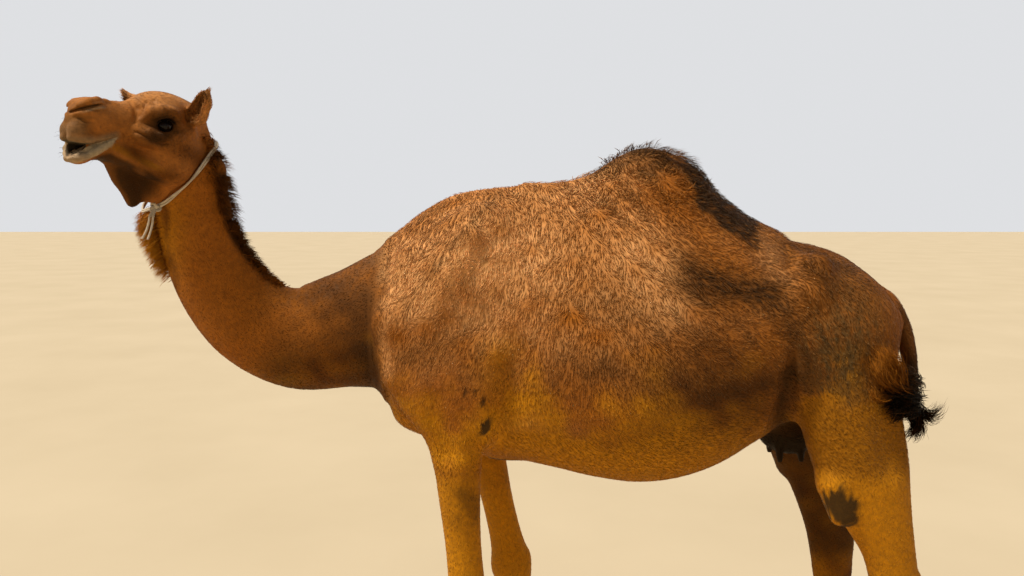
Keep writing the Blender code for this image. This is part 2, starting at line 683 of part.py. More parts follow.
def main():
    for old in list(bpy.data.objects):
        bpy.data.objects.remove(old)
    head_frame = head_place()
    volume = body()
    whole = skinned(volume, "barrel", BODY_TRIANGLES)
    under = block((-2, -1, -1), (2, 1, 0))  # the ground, which flattens the soles
    combine(whole, under, "DIFFERENCE")
    bpy.data.objects.remove(under)
    pieces = {}

    def part(name, low, high, colour=COAT, place=None, source=whole):
        pieces[name] = part_off(source, name, low, high, place)
        painted(pieces[name], colour)

    # head, by a slanting cut from the nape to the throat
    slant = Place(COLLAR_CENTRE, turned(y=-HEAD_CUT_SLOPE))
    part("head", (-0.30, -0.45, 0.012), (0.30, 0.30, 0.60), place=slant)
    head = pieces["head"]
    for side, word in ((LEFT, "left"), (RIGHT, "right")):
        edges = sorted((0.090 * -side, 0.30 * -side))
        part("ear_" + word, (0.02, edges[0], -0.056), (0.128, edges[1], 0.12), place=head_frame, source=head)
    jaw = Place(head_frame.point(MOUTH_CORNER), head_frame.axes @ turned(y=10))
    part("lower_jaw", (-0.215, -0.15, -0.24), (0.15, 0.15, 0.0), place=jaw, source=head)
    for side, word in ((LEFT, "left"), (RIGHT, "right")):
        x, y, z = EYE_PLACE
        eye = ellipsoid("eye_" + word, (x, -y * side, z), (EYE_RADIUS,) * 3, place=head_frame, detail=2)
        seat(eye, head)
        painted(eye, (0.02, 0.012, 0.006), 0.1)
        pieces["eye_" + word] = eye

    # neck, in three lengths
    bend = Place((-0.915, 0, 1.545), turned(y=-22))
    part("neck_upper", (-0.25, -0.30, 0.0), (0.22, 0.25, 0.45), place=bend)
    part("neck_middle", (-1.20, -0.30, 1.0), (-0.640, 0.30, 1.75))
    part("neck_lower", (-0.70, -0.30, 1.0), (-0.345, 0.30, 1.75))

    # legs, each in three lengths
    for pair, word, knee in (("fore", "front", 0.50), ("hind", "hind", 0.555)):
        for side, side_word in ((LEFT, "left"), (RIGHT, "right")):
            end = f"{word}_{side_word}"
            low_y, high_y = sorted((0.055 * side, 0.33 * side))
            x = foot_place(pair, side)[0]
            part("foot_" + end, (x - 0.16, low_y, -0.01), (x + 0.16, high_y, 0.105), PAD)
            part("lower_leg_" + end, (x - 0.16, low_y, 0.09), (x + 0.20, high_y, knee))
            if pair == "fore":
                top_x, lean = (-0.160, -4) if side == LEFT else (-0.130, -14)
                top = Place((top_x, 0, 1.025), turned(y=lean))
                low_y, high_y = sorted((0.105 * side, 0.33 * side))
                part("forearm_" + side_word, (-0.14, low_y, -0.70), (0.105, high_y, 0.0), place=top)
            else:
                low_y, high_y = sorted((0.088 * side, 0.33 * side))
                part("gaskin_" + side_word, (0.785, low_y, 0.50), (1.30, high_y, 1.045))

    # udder, sternal pad, hump, then the trunk in three
    part("udder", (0.754, -0.13, 0.90), (0.97, 0.13, 1.024), PAD)
    for x, y in TEATS:
        teat = ellipsoid("teat", (x, y, 0.968), (0.013, 0.013, 0.032), detail=1)
        combine(pieces["udder"], teat, "UNION")
        bpy.data.objects.remove(teat)
    part("sternal_pad", (-0.12, -0.12, 0.90), (0.10, 0.12, 0.962), PAD)
    ridge = Place((0.43, 0, 1.705), turned(y=HUMP_CUT_SLOPE))
    part("hump", (-0.42, -0.30, 0.0), (0.46, 0.30, 0.30), WOOL, place=ridge)
    part("forequarters", (-0.50, -0.40, 0.85), (0.06, 0.40, 1.90))
    part("hindquarters", (0.80, -0.40, 0.85), (1.30, 0.40, 1.75))
    pieces["barrel"] = whole
    painted(whole, COAT)

    # tail
    tail_volume = Volume(*(np.arange(a, b, 0.0075) for a, b in ((1.0, 1.28), (-0.24, 0.08), (1.05, 1.52))))
    tail_volume.add(Tube(TAIL))
    tail = skinned(tail_volume, "tail", 280)
    tuft_volume = Volume(*(np.arange(a, b, 0.0075) for a, b in ((0.88, 1.24), (-0.36, -0.08), (1.0, 1.36))))
    strand(tuft_volume, TUFT, (0.030, 0.054, 0.046, 0.032), squash=0.7)
    strand(tuft_volume, TUFT_CURL, (0.040, 0.020), squash=0.7)
    tuft = skinned(tuft_volume, "tail_tuft", 280)
    seat(tail, pieces["hindquarters"])
    seat(tuft, pieces["hindquarters"], tail)
    for name, obj in (("tail", tail), ("tail_tuft", tuft)):
        pieces[name] = obj
        painted(obj, DARK_HAIR if obj is tuft else WOOL)

    # toenails
    for pair, word in (("fore", "front"), ("hind", "hind")):
        for side, side_word in ((LEFT, "left"), (RIGHT, "right")):
            x, y = foot_place(pair, side)
            length, wide = FOOT_SIZES[pair]
            foot = pieces[f"foot_{word}_{side_word}"]
            for toe, toe_word in ((-1, "outer"), (1, "inner")):
                place = (x - length * 0.46, y + toe * -side * wide * -0.20, 0.020)
                name = f"toenail_{word}_{side_word}_{toe_word}"
                nail = ellipsoid(name, place, (0.014, 0.015, 0.013), (0, -15, 0), detail=1)
                seat(nail, foot)
                painted(nail, HORN, 0.5)
                pieces[name] = nail

    # collar: a doubled cord round the neck, its knot, and the two short ends
    route = collar_route(volume)
    collar = tube_object("collar_rope", route, ROPE_RADIUS, closed=True, sides=1)
    seat(collar, head, pieces["neck_upper"], pieces["lower_jaw"])
    painted(collar, ROPE)
    pieces["collar_rope"] = collar
    knot_at = route[KNOT_PLACE] + np.array((-0.002, -0.008, -0.004))
    knot = ellipsoid("collar_knot", knot_at, (0.019, 0.015, 0.018), detail=2)
    seat(knot, collar, head, pieces["neck_upper"], pieces["lower_jaw"])
    painted(knot, ROPE)
    pieces["collar_knot"] = knot
    for start, fall, word in zip(CORD_STARTS, CORD_FALLS, ("front", "rear")):
        line = cord_line(knot_at + start, fall)
        cord = tube_object("collar_end_" + word, line, CORD_RADIUS)
        painted(cord, ROPE)
        pieces["collar_end_" + word] = cord

    points = np.array([vertex.co for piece in pieces.values() for vertex in piece.data.vertices])
    low, high = points.min(0), points.max(0)
    root = bpy.data.objects.new("camel", None)
    bpy.context.collection.objects.link(root)
    root.location = (-(low[0] + high[0]) / 2, -(low[1] + high[1]) / 2, 0)
    for piece in pieces.values():
        piece.parent = root


if __name__ == "__main__":
    main()
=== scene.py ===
"""Dromedary camel, life size: skin, coat, eyes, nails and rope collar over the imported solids.

The skin is one implicit surface, the same masses as the solids' with the coat's depth taken off and the
folds added. The coat is solid tufts along the lie of the hair, coloured by the same marks as the skin.
Metres, +Z up, the camel faces -X and her left side is towards -Y.
"""

import math

import bpy
import numpy as np
from mathutils import Matrix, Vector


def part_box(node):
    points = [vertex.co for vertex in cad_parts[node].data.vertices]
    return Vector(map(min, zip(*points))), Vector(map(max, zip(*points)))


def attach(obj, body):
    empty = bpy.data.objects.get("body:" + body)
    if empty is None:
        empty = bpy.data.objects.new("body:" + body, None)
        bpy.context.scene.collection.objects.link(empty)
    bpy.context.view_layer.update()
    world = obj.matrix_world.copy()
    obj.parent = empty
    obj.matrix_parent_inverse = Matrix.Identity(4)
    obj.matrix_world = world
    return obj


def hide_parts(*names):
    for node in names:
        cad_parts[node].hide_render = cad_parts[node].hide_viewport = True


LEFT, RIGHT = -1, 1
HEAD_TURN = math.radians(58)
HEAD_ROLL = math.radians(3)
HEAD_ORIGIN = (-0.921, -0.012, 1.988)  # between the ear bases
EYE_PLACE = (0.155, 0.061, -0.056)  # in the head's frame
EYE_RADIUS = 0.0215
EARS = {
    LEFT: [(0.072, 0.062, -0.028), (0.076, 0.102, -0.012), (0.083, 0.134, 0.014), (0.088, 0.160, 0.041)],
    RIGHT: [(0.072, -0.062, -0.028), (0.084, -0.110, -0.014), (0.099, -0.155, 0.008), (0.114, -0.187, 0.045)],
}
EAR_RADII = (0.024, 0.033, 0.027, 0.009)
FOOT_SIZES = {"fore": (0.196, 0.172), "hind": (0.176, 0.152)}
TEATS = [(0.805, -0.045), (0.805, 0.045), (0.870, -0.042), (0.870, 0.042)]
COLLAR_CENTRE = (-0.985, -0.040, 1.794)
COLLAR_DOWN = (-0.74, -0.10, -0.67)  # from the nape to the throat
COLLAR_NEAR = (0.46, -0.83, -0.44)  # across, to the camel's left
CORD_RADIUS = 0.003
CORD_LENGTH = 0.066
CORD_STARTS = [(-0.010, -0.016, -0.026), (0.000, -0.016, -0.026)]  # from the knot's middle
CORD_FALLS = [(-0.50, -0.12, -0.86), (-0.36, -0.14, -0.92)]
ROPE_RADIUS = 0.0033  # of one of the collar's two strands
LENS, SENSOR = 28.0, 36.0  # mm
CAMERA_PLACE = (0, -2.39, 1.70)
CAMERA_TILT = math.radians(-5.593)
SKIN_SPACING, QUICK_SPACING = 0.0024, 0.0045  # of the head's grid
SKIN_TRIANGLES = 195000
COAT_SEED = 11


def step(x, low, high):
    """A smooth step from 0 at low to 1 at high."""
    t = np.clip((x - low) / (high - low), 0, 1)
    return t * t * (3 - 2 * t)


def lines(*stops):
    """Grid lines: stops are (from, spacing), and the last one ends them."""
    parts = []
    for (start, gap), (end, _) in zip(stops[:-1], stops[1:]):
        parts.append(np.arange(start, end - gap * 0.4, gap))
    return np.concatenate(parts)


def spline(keys, values, at):
    """A smooth cubic through (keys, values), read at the places `at`."""
    keys = np.asarray(keys, float)
    values = np.asarray(values, float)
    slopes = np.gradient(values, keys, axis=0)
    i = np.clip(np.searchsorted(keys, at) - 1, 0, len(keys) - 2)
    width = keys[i + 1] - keys[i]
    t = np.clip((at - keys[i]) / width, 0, 1)
    if values.ndim > 1:
        t, width = t[..., None], width[..., None]
    start, end = values[i], values[i + 1]
    rise_in, rise_out = slopes[i] * width, slopes[i + 1] * width
    cubic = 2 * (start - end) + rise_in + rise_out
    square = 3 * (end - start) - 2 * rise_in - rise_out
    return ((cubic * t + square) * t + rise_in) * t + start


class Place:
    """A local frame: points and directions given in it are turned into the body's frame."""

    def __init__(self, origin=(0, 0, 0), axes=None):
        self.origin = np.array(origin, float)
        self.axes = np.eye(3) if axes is None else np.array(axes, float)

    def point(self, local):
        return self.origin + self.axes @ np.asarray(local, float)


def turned(x=0.0, y=0.0, z=0.0):
    """A rotation matrix of degrees about X, then Y, then Z."""
    return np.array(
        Matrix.Rotation(math.radians(z), 3, "Z")
        @ Matrix.Rotation(math.radians(y), 3, "Y")
        @ Matrix.Rotation(math.radians(x), 3, "X")
    )


class Ball:
    """An ellipsoid."""

    def __init__(self, centre, radii, turn=(0, 0, 0), place=None):
        place = place or Place()
        self.radii = np.array(radii, float)
        self.axes = place.axes @ turned(*turn)
        self.centre = place.point(centre)
        reach = np.sqrt(((self.axes * self.radii) ** 2).sum(1))
        self.low, self.high = self.centre - reach, self.centre + reach

    def distance(self, x, y, z):
        x, y, z = x - self.centre[0], y - self.centre[1], z - self.centre[2]
        near, steep = 0.0, 0.0
        for axis, radius in zip(self.axes.T, self.radii):
            part = (x * axis[0] + y * axis[1] + z * axis[2]) / radius
            near = near + part * part
            steep = steep + (part / radius) ** 2
        near = np.sqrt(near)
        return near * (near - 1) / np.sqrt(steep + 1e-9)


class Limb:
    """A cone with round ends, from start to end, squashed along `flat` (a unit vector)."""

    def __init__(self, start, end, radius_start, radius_end, flat=(0, 1, 0), squash=1.0, place=None):
        place = place or Place()
        self.start, self.end = place.point(start), place.point(end)
        self.radii = (radius_start, radius_end)
        self.flat = place.axes @ np.array(flat, float)
        self.squash = squash
        reach = max(self.radii)
        self.low = np.minimum(self.start, self.end) - reach
        self.high = np.maximum(self.start, self.end) + reach

    def distance(self, x, y, z):
        along = self.end - self.start
        stretch = 1 / self.squash - 1
        along = along + self.flat * (along @ self.flat) * stretch
        x, y, z = x - self.start[0], y - self.start[1], z - self.start[2]
        off = (x * self.flat[0] + y * self.flat[1] + z * self.flat[2]) * stretch
        x, y, z = x + off * self.flat[0], y + off * self.flat[1], z + off * self.flat[2]
        t = np.clip((x * along[0] + y * along[1] + z * along[2]) / (along @ along), 0, 1)
        x, y, z = x - t * along[0], y - t * along[1], z - t * along[2]
        radius = self.radii[0] + t * (self.radii[1] - self.radii[0])
        return (np.sqrt(x * x + y * y + z * z) - radius) * (1 + self.squash) / 2


class Tube:
    """A tube that bends in a plane of nearly constant Y.
    Rows: x, y, z, half depth in that plane, half width."""

    def __init__(self, rows, samples=60):
        rows = np.array(rows, float)
        steps = np.linspace(0, len(rows) - 1, samples)
        self.path = spline(np.arange(len(rows)), rows, steps)
        reach = rows[:, 3:].max(1, keepdims=True)
        self.low, self.high = (rows[:, :3] - reach).min(0), (rows[:, :3] + reach).max(0)

    def distance(self, x, y, z):
        flat_x, flat_z = x[:, :, 0], z[0]
        nearest = np.full(np.broadcast_shapes(flat_x.shape, flat_z.shape), np.inf)
        middle, depth, width = (np.zeros_like(nearest) for _ in range(3))
        for a, b in zip(self.path[:-1], self.path[1:]):
            step_x, step_z = b[0] - a[0], b[2] - a[2]
            length = step_x**2 + step_z**2
            t = np.clip(((flat_x - a[0]) * step_x + (flat_z - a[2]) * step_z) / length, 0, 1)
            gap = (flat_x - a[0] - t * step_x) ** 2 + (flat_z - a[2] - t * step_z) ** 2
            closer = gap < nearest
            nearest = np.where(closer, gap, nearest)
            middle = np.where(closer, a[1] + t * (b[1] - a[1]), middle)
            depth = np.where(closer, a[3] + t * (b[3] - a[3]), depth)
            width = np.where(closer, a[4] + t * (b[4] - a[4]), width)
        nearest, middle, depth, width = (v[:, None, :] for v in (nearest, middle, depth, width))
        across = ((y - middle) / width) ** 2
        near = np.sqrt(nearest / depth**2 + across)
        steep = np.sqrt(nearest / depth**4 + across / width**2)
        return near * (near - 1) / (steep + 1e-6)


class Barrel:
    """Sections across X. Rows: x, top, bottom, half width, height where it is widest.
    upper and lower are the exponents of the section's two halves: 2 is an ellipse, less is more pointed."""

    def __init__(self, rows, upper=2.0, lower=2.0):
        self.rows = np.array(rows, float)
        self.upper, self.lower = upper, lower
        wide = self.rows[:, 3].max()
        self.low = np.array([self.rows[0, 0], -wide, self.rows[:, 2].min()])
        self.high = np.array([self.rows[-1, 0], wide, self.rows[:, 1].max()])

    def distance(self, x, y, z):
        top, bottom, wide, middle = (
            spline(self.rows[:, 0], self.rows[:, n], x) for n in (1, 2, 3, 4)
        )
        above = z > middle
        height = np.where(above, top - middle, middle - bottom)
        power = np.where(above, self.upper, self.lower)
        level = (np.abs(y) / wide) ** power + (np.abs(z - middle) / height) ** power
        level = level ** (1 / power) - 1
        slopes = np.gradient(level, x[:, 0, 0], y[0, :, 0], z[0, 0])
        level = level / np.sqrt(sum(s * s for s in slopes) + 1e-6)
        ends = np.maximum(self.rows[0, 0] - x, x - self.rows[-1, 0])
        return np.maximum(level, ends)


class Volume:
    """The distance to the surface on a grid of points, negative inside."""

    FAR = 0.2

    def __init__(self, xs, ys, zs):
        self.axes = [np.asarray(a, np.float32) for a in (xs, ys, zs)]
        self.values = np.full([len(a) for a in self.axes], self.FAR, np.float32)

    def at(self, points):
        """The distance at any points, between the grid's."""
        cell, share = [], []
        for n, axis in enumerate(self.axes):
            i = np.clip(np.searchsorted(axis, points[..., n]) - 1, 0, len(axis) - 2)
            cell.append(i)
            share.append(np.clip((points[..., n] - axis[i]) / (axis[i + 1] - axis[i]), 0, 1))
        total = 0
        for i in (0, 1):
            for j in (0, 1):
                for k in (0, 1):
                    weight = 1
                    for corner, s in zip((i, j, k), share):
                        weight = weight * (s if corner else 1 - s)
                    total = total + weight * self.values[cell[0] + i, cell[1] + j, cell[2] + k]
        return total

    def window(self, shape, margin):
        cut = tuple(
            slice(*np.searchsorted(axis, (low - margin, high + margin)))
            for axis, low, high in zip(self.axes, shape.low, shape.high)
        )
        grid = np.meshgrid(*(a[c] for a, c in zip(self.axes, cut)), indexing="ij", sparse=True)
        return cut, grid

    def add(self, shape, blend=0.02):
        """Joins a shape, with a fillet about as wide as `blend`."""
        cut, grid = self.window(shape, blend + 0.03)
        old, new = self.values[cut], shape.distance(*grid).astype(np.float32)
        overlap = np.maximum(blend - np.abs(old - new), 0)
        self.values[cut] = np.minimum(old, new) - overlap**2 / (4 * blend)

    def carve(self, shape, blend=0.005):
        """Cuts a shape away, with a rounded rim."""
        cut, grid = self.window(shape, blend + 0.01)
        old, new = self.values[cut], -shape.distance(*grid).astype(np.float32)
        overlap = np.maximum(blend - np.abs(old - new), 0)
        self.values[cut] = np.maximum(old, new) + overlap**2 / (4 * blend)


def surface(volume):
    """(points, quads) of the volume's zero surface, one point in each grid cell that it crosses."""
    v = volume.values
    inside = v < 0
    count = np.zeros([n - 1 for n in v.shape], np.uint8)
    corners = [(i, j, k) for i in (0, 1) for j in (0, 1) for k in (0, 1)]
    for i, j, k in corners:
        count += inside[i : v.shape[0] - 1 + i, j : v.shape[1] - 1 + j, k : v.shape[2] - 1 + k]
    cells = np.argwhere((count > 0) & (count < 8))
    number = np.full(count.shape, -1, np.int32)
    number[tuple(cells.T)] = np.arange(len(cells))
    total, hits = np.zeros((len(cells), 3)), np.zeros((len(cells), 1))
    for axis in range(3):
        step = np.eye(3, dtype=int)[axis]
        for corner in corners:
            if corner[axis]:
                continue
            a = cells + corner
            b = a + step
            value_a, value_b = v[tuple(a.T)], v[tuple(b.T)]
            crossed = (value_a < 0) != (value_b < 0)
            t = np.where(crossed, value_a / np.where(crossed, value_a - value_b, 1), 0)
            place = np.stack([volume.axes[n][a[:, n]] for n in range(3)], 1).astype(float)
            place[:, axis] += t * (volume.axes[axis][b[:, axis]] - place[:, axis])
            total += place * crossed[:, None]
            hits += crossed[:, None]
    points = total / hits
    quads = []
    for axis in range(3):
        side, up = [n for n in range(3) if n != axis]
        ahead = [slice(None)] * 3
        ahead[axis] = slice(1, None)
        behind = [slice(None)] * 3
        behind[axis] = slice(None, -1)
        edges = np.argwhere(inside[tuple(behind)] != inside[tuple(ahead)])
        edges = edges[(edges[:, side] > 0) & (edges[:, up] > 0)]
        ring = []
        for back_side, back_up in ((1, 1), (0, 1), (0, 0), (1, 0)):
            cell = edges.copy()
            cell[:, side] -= back_side
            cell[:, up] -= back_up
            ring.append(number[tuple(cell.T)])
        ring = np.stack(ring, 1)
        flip = inside[tuple(edges.T)] == (axis == 1)
        ring[flip] = ring[flip][:, ::-1]
        quads.append(ring)
    return points, np.concatenate(quads)


def head_place():
    """The head's own frame: +x to the muzzle, +y to the camel's left, +z up."""
    turn, roll = HEAD_TURN, HEAD_ROLL
    forward = np.array([-math.cos(turn), -math.sin(turn), 0])
    left = np.array([math.sin(turn), -math.cos(turn), 0])
    up = np.array([0, 0, 1.0])
    left, up = left * math.cos(roll) - up * math.sin(roll), up * math.cos(roll) + left * math.sin(roll)
    return Place(HEAD_ORIGIN, np.stack([forward, left, up], 1))


TRUNK = [
    # x, top, bottom, half width, widest at
    (-0.36, 1.610, 1.150, 0.150, 1.35),
    (-0.28, 1.690, 1.050, 0.195, 1.34),
    (-0.19, 1.745, 0.995, 0.222, 1.32),
    (-0.08, 1.770, 0.958, 0.245, 1.30),
    (0.02, 1.775, 0.948, 0.268, 1.27),
    (0.12, 1.765, 0.930, 0.295, 1.25),
    (0.24, 1.750, 0.904, 0.325, 1.23),
    (0.38, 1.740, 0.890, 0.345, 1.22),
    (0.50, 1.730, 0.907, 0.342, 1.23),
    (0.60, 1.700, 0.943, 0.322, 1.25),
    (0.70, 1.655, 1.000, 0.292, 1.28),
    (0.80, 1.620, 1.060, 0.260, 1.31),
    (0.90, 1.602, 1.115, 0.232, 1.34),
    (1.00, 1.560, 1.180, 0.195, 1.36),
    (1.08, 1.490, 1.240, 0.150, 1.37),
    (1.15, 1.420, 1.310, 0.080, 1.37),
]

HUMP = [
    # as the trunk's
    (0.06, 1.760, 1.50, 0.060, 1.58),
    (0.16, 1.793, 1.48, 0.100, 1.58),
    (0.23, 1.825, 1.46, 0.125, 1.57),
    (0.30, 1.870, 1.45, 0.145, 1.57),
    (0.36, 1.897, 1.45, 0.155, 1.57),
    (0.42, 1.900, 1.45, 0.160, 1.57),
    (0.49, 1.880, 1.45, 0.158, 1.56),
    (0.55, 1.843, 1.45, 0.150, 1.55),
    (0.62, 1.762, 1.45, 0.135, 1.53),
    (0.70, 1.680, 1.45, 0.110, 1.52),
    (0.78, 1.632, 1.45, 0.075, 1.52),
]

NECK = [
    # x, y, z, half depth, half width
    (-0.16, 0.0, 1.410, 0.260, 0.160),
    (-0.34, 0.0, 1.372, 0.222, 0.148),
    (-0.50, 0.0, 1.338, 0.180, 0.120),
    (-0.65, 0.0, 1.313, 0.158, 0.100),
    (-0.78, 0.0, 1.362, 0.143, 0.090),
    (-0.865, 0.0, 1.452, 0.132, 0.084),
    (-0.920, -0.008, 1.560, 0.118, 0.079),
    (-0.950, -0.022, 1.670, 0.107, 0.075),
    (-0.964, -0.036, 1.780, 0.101, 0.073),
    (-0.965, -0.040, 1.880, 0.080, 0.068),
]

FORELEG = [
    # as the neck's
    (-0.200, 0.165, 1.260, 0.150, 0.080),
    (-0.165, 0.185, 1.100, 0.100, 0.068),
    (-0.155, 0.186, 0.990, 0.072, 0.058),
    (-0.149, 0.184, 0.870, 0.060, 0.052),
    (-0.140, 0.180, 0.740, 0.053, 0.047),
    (-0.131, 0.178, 0.620, 0.055, 0.048),
    (-0.125, 0.175, 0.520, 0.066, 0.056),
    (-0.118, 0.175, 0.440, 0.052, 0.046),
    (-0.115, 0.175, 0.330, 0.038, 0.036),
    (-0.113, 0.175, 0.220, 0.038, 0.037),
    (-0.113, 0.175, 0.155, 0.046, 0.045),
    (-0.125, 0.175, 0.095, 0.044, 0.048),
    (-0.140, 0.175, 0.045, 0.048, 0.055),
]

HINDLEG = [
    # as the neck's
    (0.935, 0.130, 1.330, 0.155, 0.105),
    (0.945, 0.160, 1.200, 0.148, 0.095),
    (0.965, 0.180, 1.090, 0.142, 0.085),
    (0.995, 0.192, 0.975, 0.130, 0.075),
    (1.032, 0.196, 0.860, 0.104, 0.064),
    (1.072, 0.195, 0.750, 0.078, 0.054),
    (1.096, 0.190, 0.655, 0.070, 0.048),
    (1.108, 0.187, 0.560, 0.070, 0.047),
    (1.108, 0.185, 0.470, 0.064, 0.044),
    (1.106, 0.185, 0.380, 0.042, 0.037),
    (1.104, 0.185, 0.280, 0.036, 0.035),
    (1.103, 0.185, 0.200, 0.038, 0.037),
    (1.102, 0.185, 0.150, 0.044, 0.042),
    (1.090, 0.185, 0.095, 0.042, 0.045),
    (1.075, 0.185, 0.045, 0.046, 0.050),
]

TAIL = [
    # as the neck's
    (1.085, 0.0, 1.440, 0.045, 0.042),
    (1.135, 0.0, 1.412, 0.038, 0.036),
    (1.180, -0.004, 1.340, 0.030, 0.028),
    (1.198, -0.018, 1.260, 0.025, 0.025),
    (1.185, -0.070, 1.180, 0.021, 0.023),
    (1.150, -0.150, 1.140, 0.018, 0.020),
]

MANE = [
    (-0.905, -0.040, 1.910),
    (-0.868, -0.033, 1.820),
    (-0.850, -0.020, 1.690),
    (-0.800, 0, 1.540),
    (-0.700, 0, 1.452),
]
BEARD = [(-1.045, -0.052, 1.698), (-1.062, -0.042, 1.635), (-1.028, -0.012, 1.525)]

STANDS = {  # (height, how far along X the leg's rows move there)
    ("fore", LEFT): [(0.0, 0.0), (1.3, 0.0)],
    ("fore", RIGHT): [(0, 0.150), (0.155, 0.145), (0.52, 0.125), (0.87, 0.072), (1.1, 0.030), (1.3, 0)],
    ("hind", LEFT): [(0.0, 0.0), (1.3, 0.0)],
    ("hind", RIGHT): [(0, -0.030), (0.47, -0.030), (0.72, -0.050), (0.87, -0.025), (1.1, 0), (1.3, 0)],
}


def leg_rows(pair, side):
    """The rows of one leg, on its side and in its stance."""
    rows = FORELEG if pair == "fore" else HINDLEG
    heights, moves = zip(*STANDS[pair, side])
    placed = []
    for x, y, z, depth, width in rows:
        placed.append((x + np.interp(z, heights, moves), side * y, z, depth, width))
    return placed


def foot_place(pair, side):
    """Where the middle of a foot stands."""
    x, y = leg_rows(pair, side)[-1][:2]
    return x - 0.012, y


# ---------------------------------------------------------------- the head, then the whole body

# The head's forms in its own frame: kind, place, radii, fillet, and the squash or the depth.
# A ball has a centre; a ridge or groove has points; a raised line or fold has (forward, up) points, which
# are laid on the side of the head, `depth` below its surface.
SKULL = [
    ("ball", (0.080, 0, -0.042), (0.095, 0.070, 0.072), 0.02),
    ("ball", (0.135, 0, -0.022), (0.080, 0.074, 0.063), 0.03),
    ("ridge", [(0.165, 0, -0.050), (0.330, 0, -0.036)], (0.053, 0.036), 0.04, 0.9),
    ("ball", (0.240, 0, -0.078), (0.112, 0.053, 0.052), 0.03),
    ("ball", (0.332, 0, -0.060), (0.056, 0.042, 0.048), 0.03),
]
CHEEKS = [
    ("ball", (0.158, 0.064, -0.026), (0.044, 0.030, 0.026), 0.02),
    ("ball", (0.175, 0.064, -0.092), (0.065, 0.022, 0.026), 0.03),
    ("ball", (0.105, 0.046, -0.125), (0.074, 0.032, 0.085), 0.03),
    ("ball", (0.362, 0.016, -0.086), (0.033, 0.025, 0.031), 0.008),
    ("ball", (0.336, 0.020, -0.018), (0.032, 0.017, 0.017), 0.012),
    ("ridge", [(0.115, 0.034, -0.180), (0.305, 0.016, -0.128)], (0.036, 0.022), 0.03),
]
MOUTH = [
    # chin, lower lip, throat
    ("ball", (0.325, 0, -0.131), (0.042, 0.029, 0.018), 0.02),
    ("ball", (0.366, 0, -0.1565), (0.024, 0.029, 0.0110), 0.012),
    ("ridge", [(0.362, 0, -0.1560), (0.300, 0, -0.1310)], (0.0115, 0.015), 0.018, 2.1),
    ("ridge", [(0.254, 0, -0.172), (0.215, 0, -0.266)], (0.024, 0.012), 0.03, 0.8),
    ("ridge", [(0.200, 0, -0.249), (0.128, 0, -0.222)], (0.015, 0.046), 0.03, 0.65),
    ("ridge", [(0.236, 0, -0.190), (0.150, 0, -0.205)], (0.028, 0.045), 0.03, 0.55),
    # the opening: a wedge
    ("groove", [(0.412, 0, -0.1385), (0.330, 0, -0.1150)], (0.0275, 0.0018), 0.004, 2.3),
    # the lower lip, drawn up on her right
    ("ridge", [(0.386, -0.006, -0.1560), (0.379, -0.022, -0.1450), (0.372, -0.031, -0.1300),
               (0.366, -0.033, -0.1120)], (0.0070, 0.0070, 0.0065, 0.0060), 0.006),
    ("ridge", [(0.372, -0.032, -0.1330), (0.352, -0.034, -0.1270), (0.322, -0.036, -0.1180)],
     (0.0085, 0.0120, 0.0080), 0.006),
]
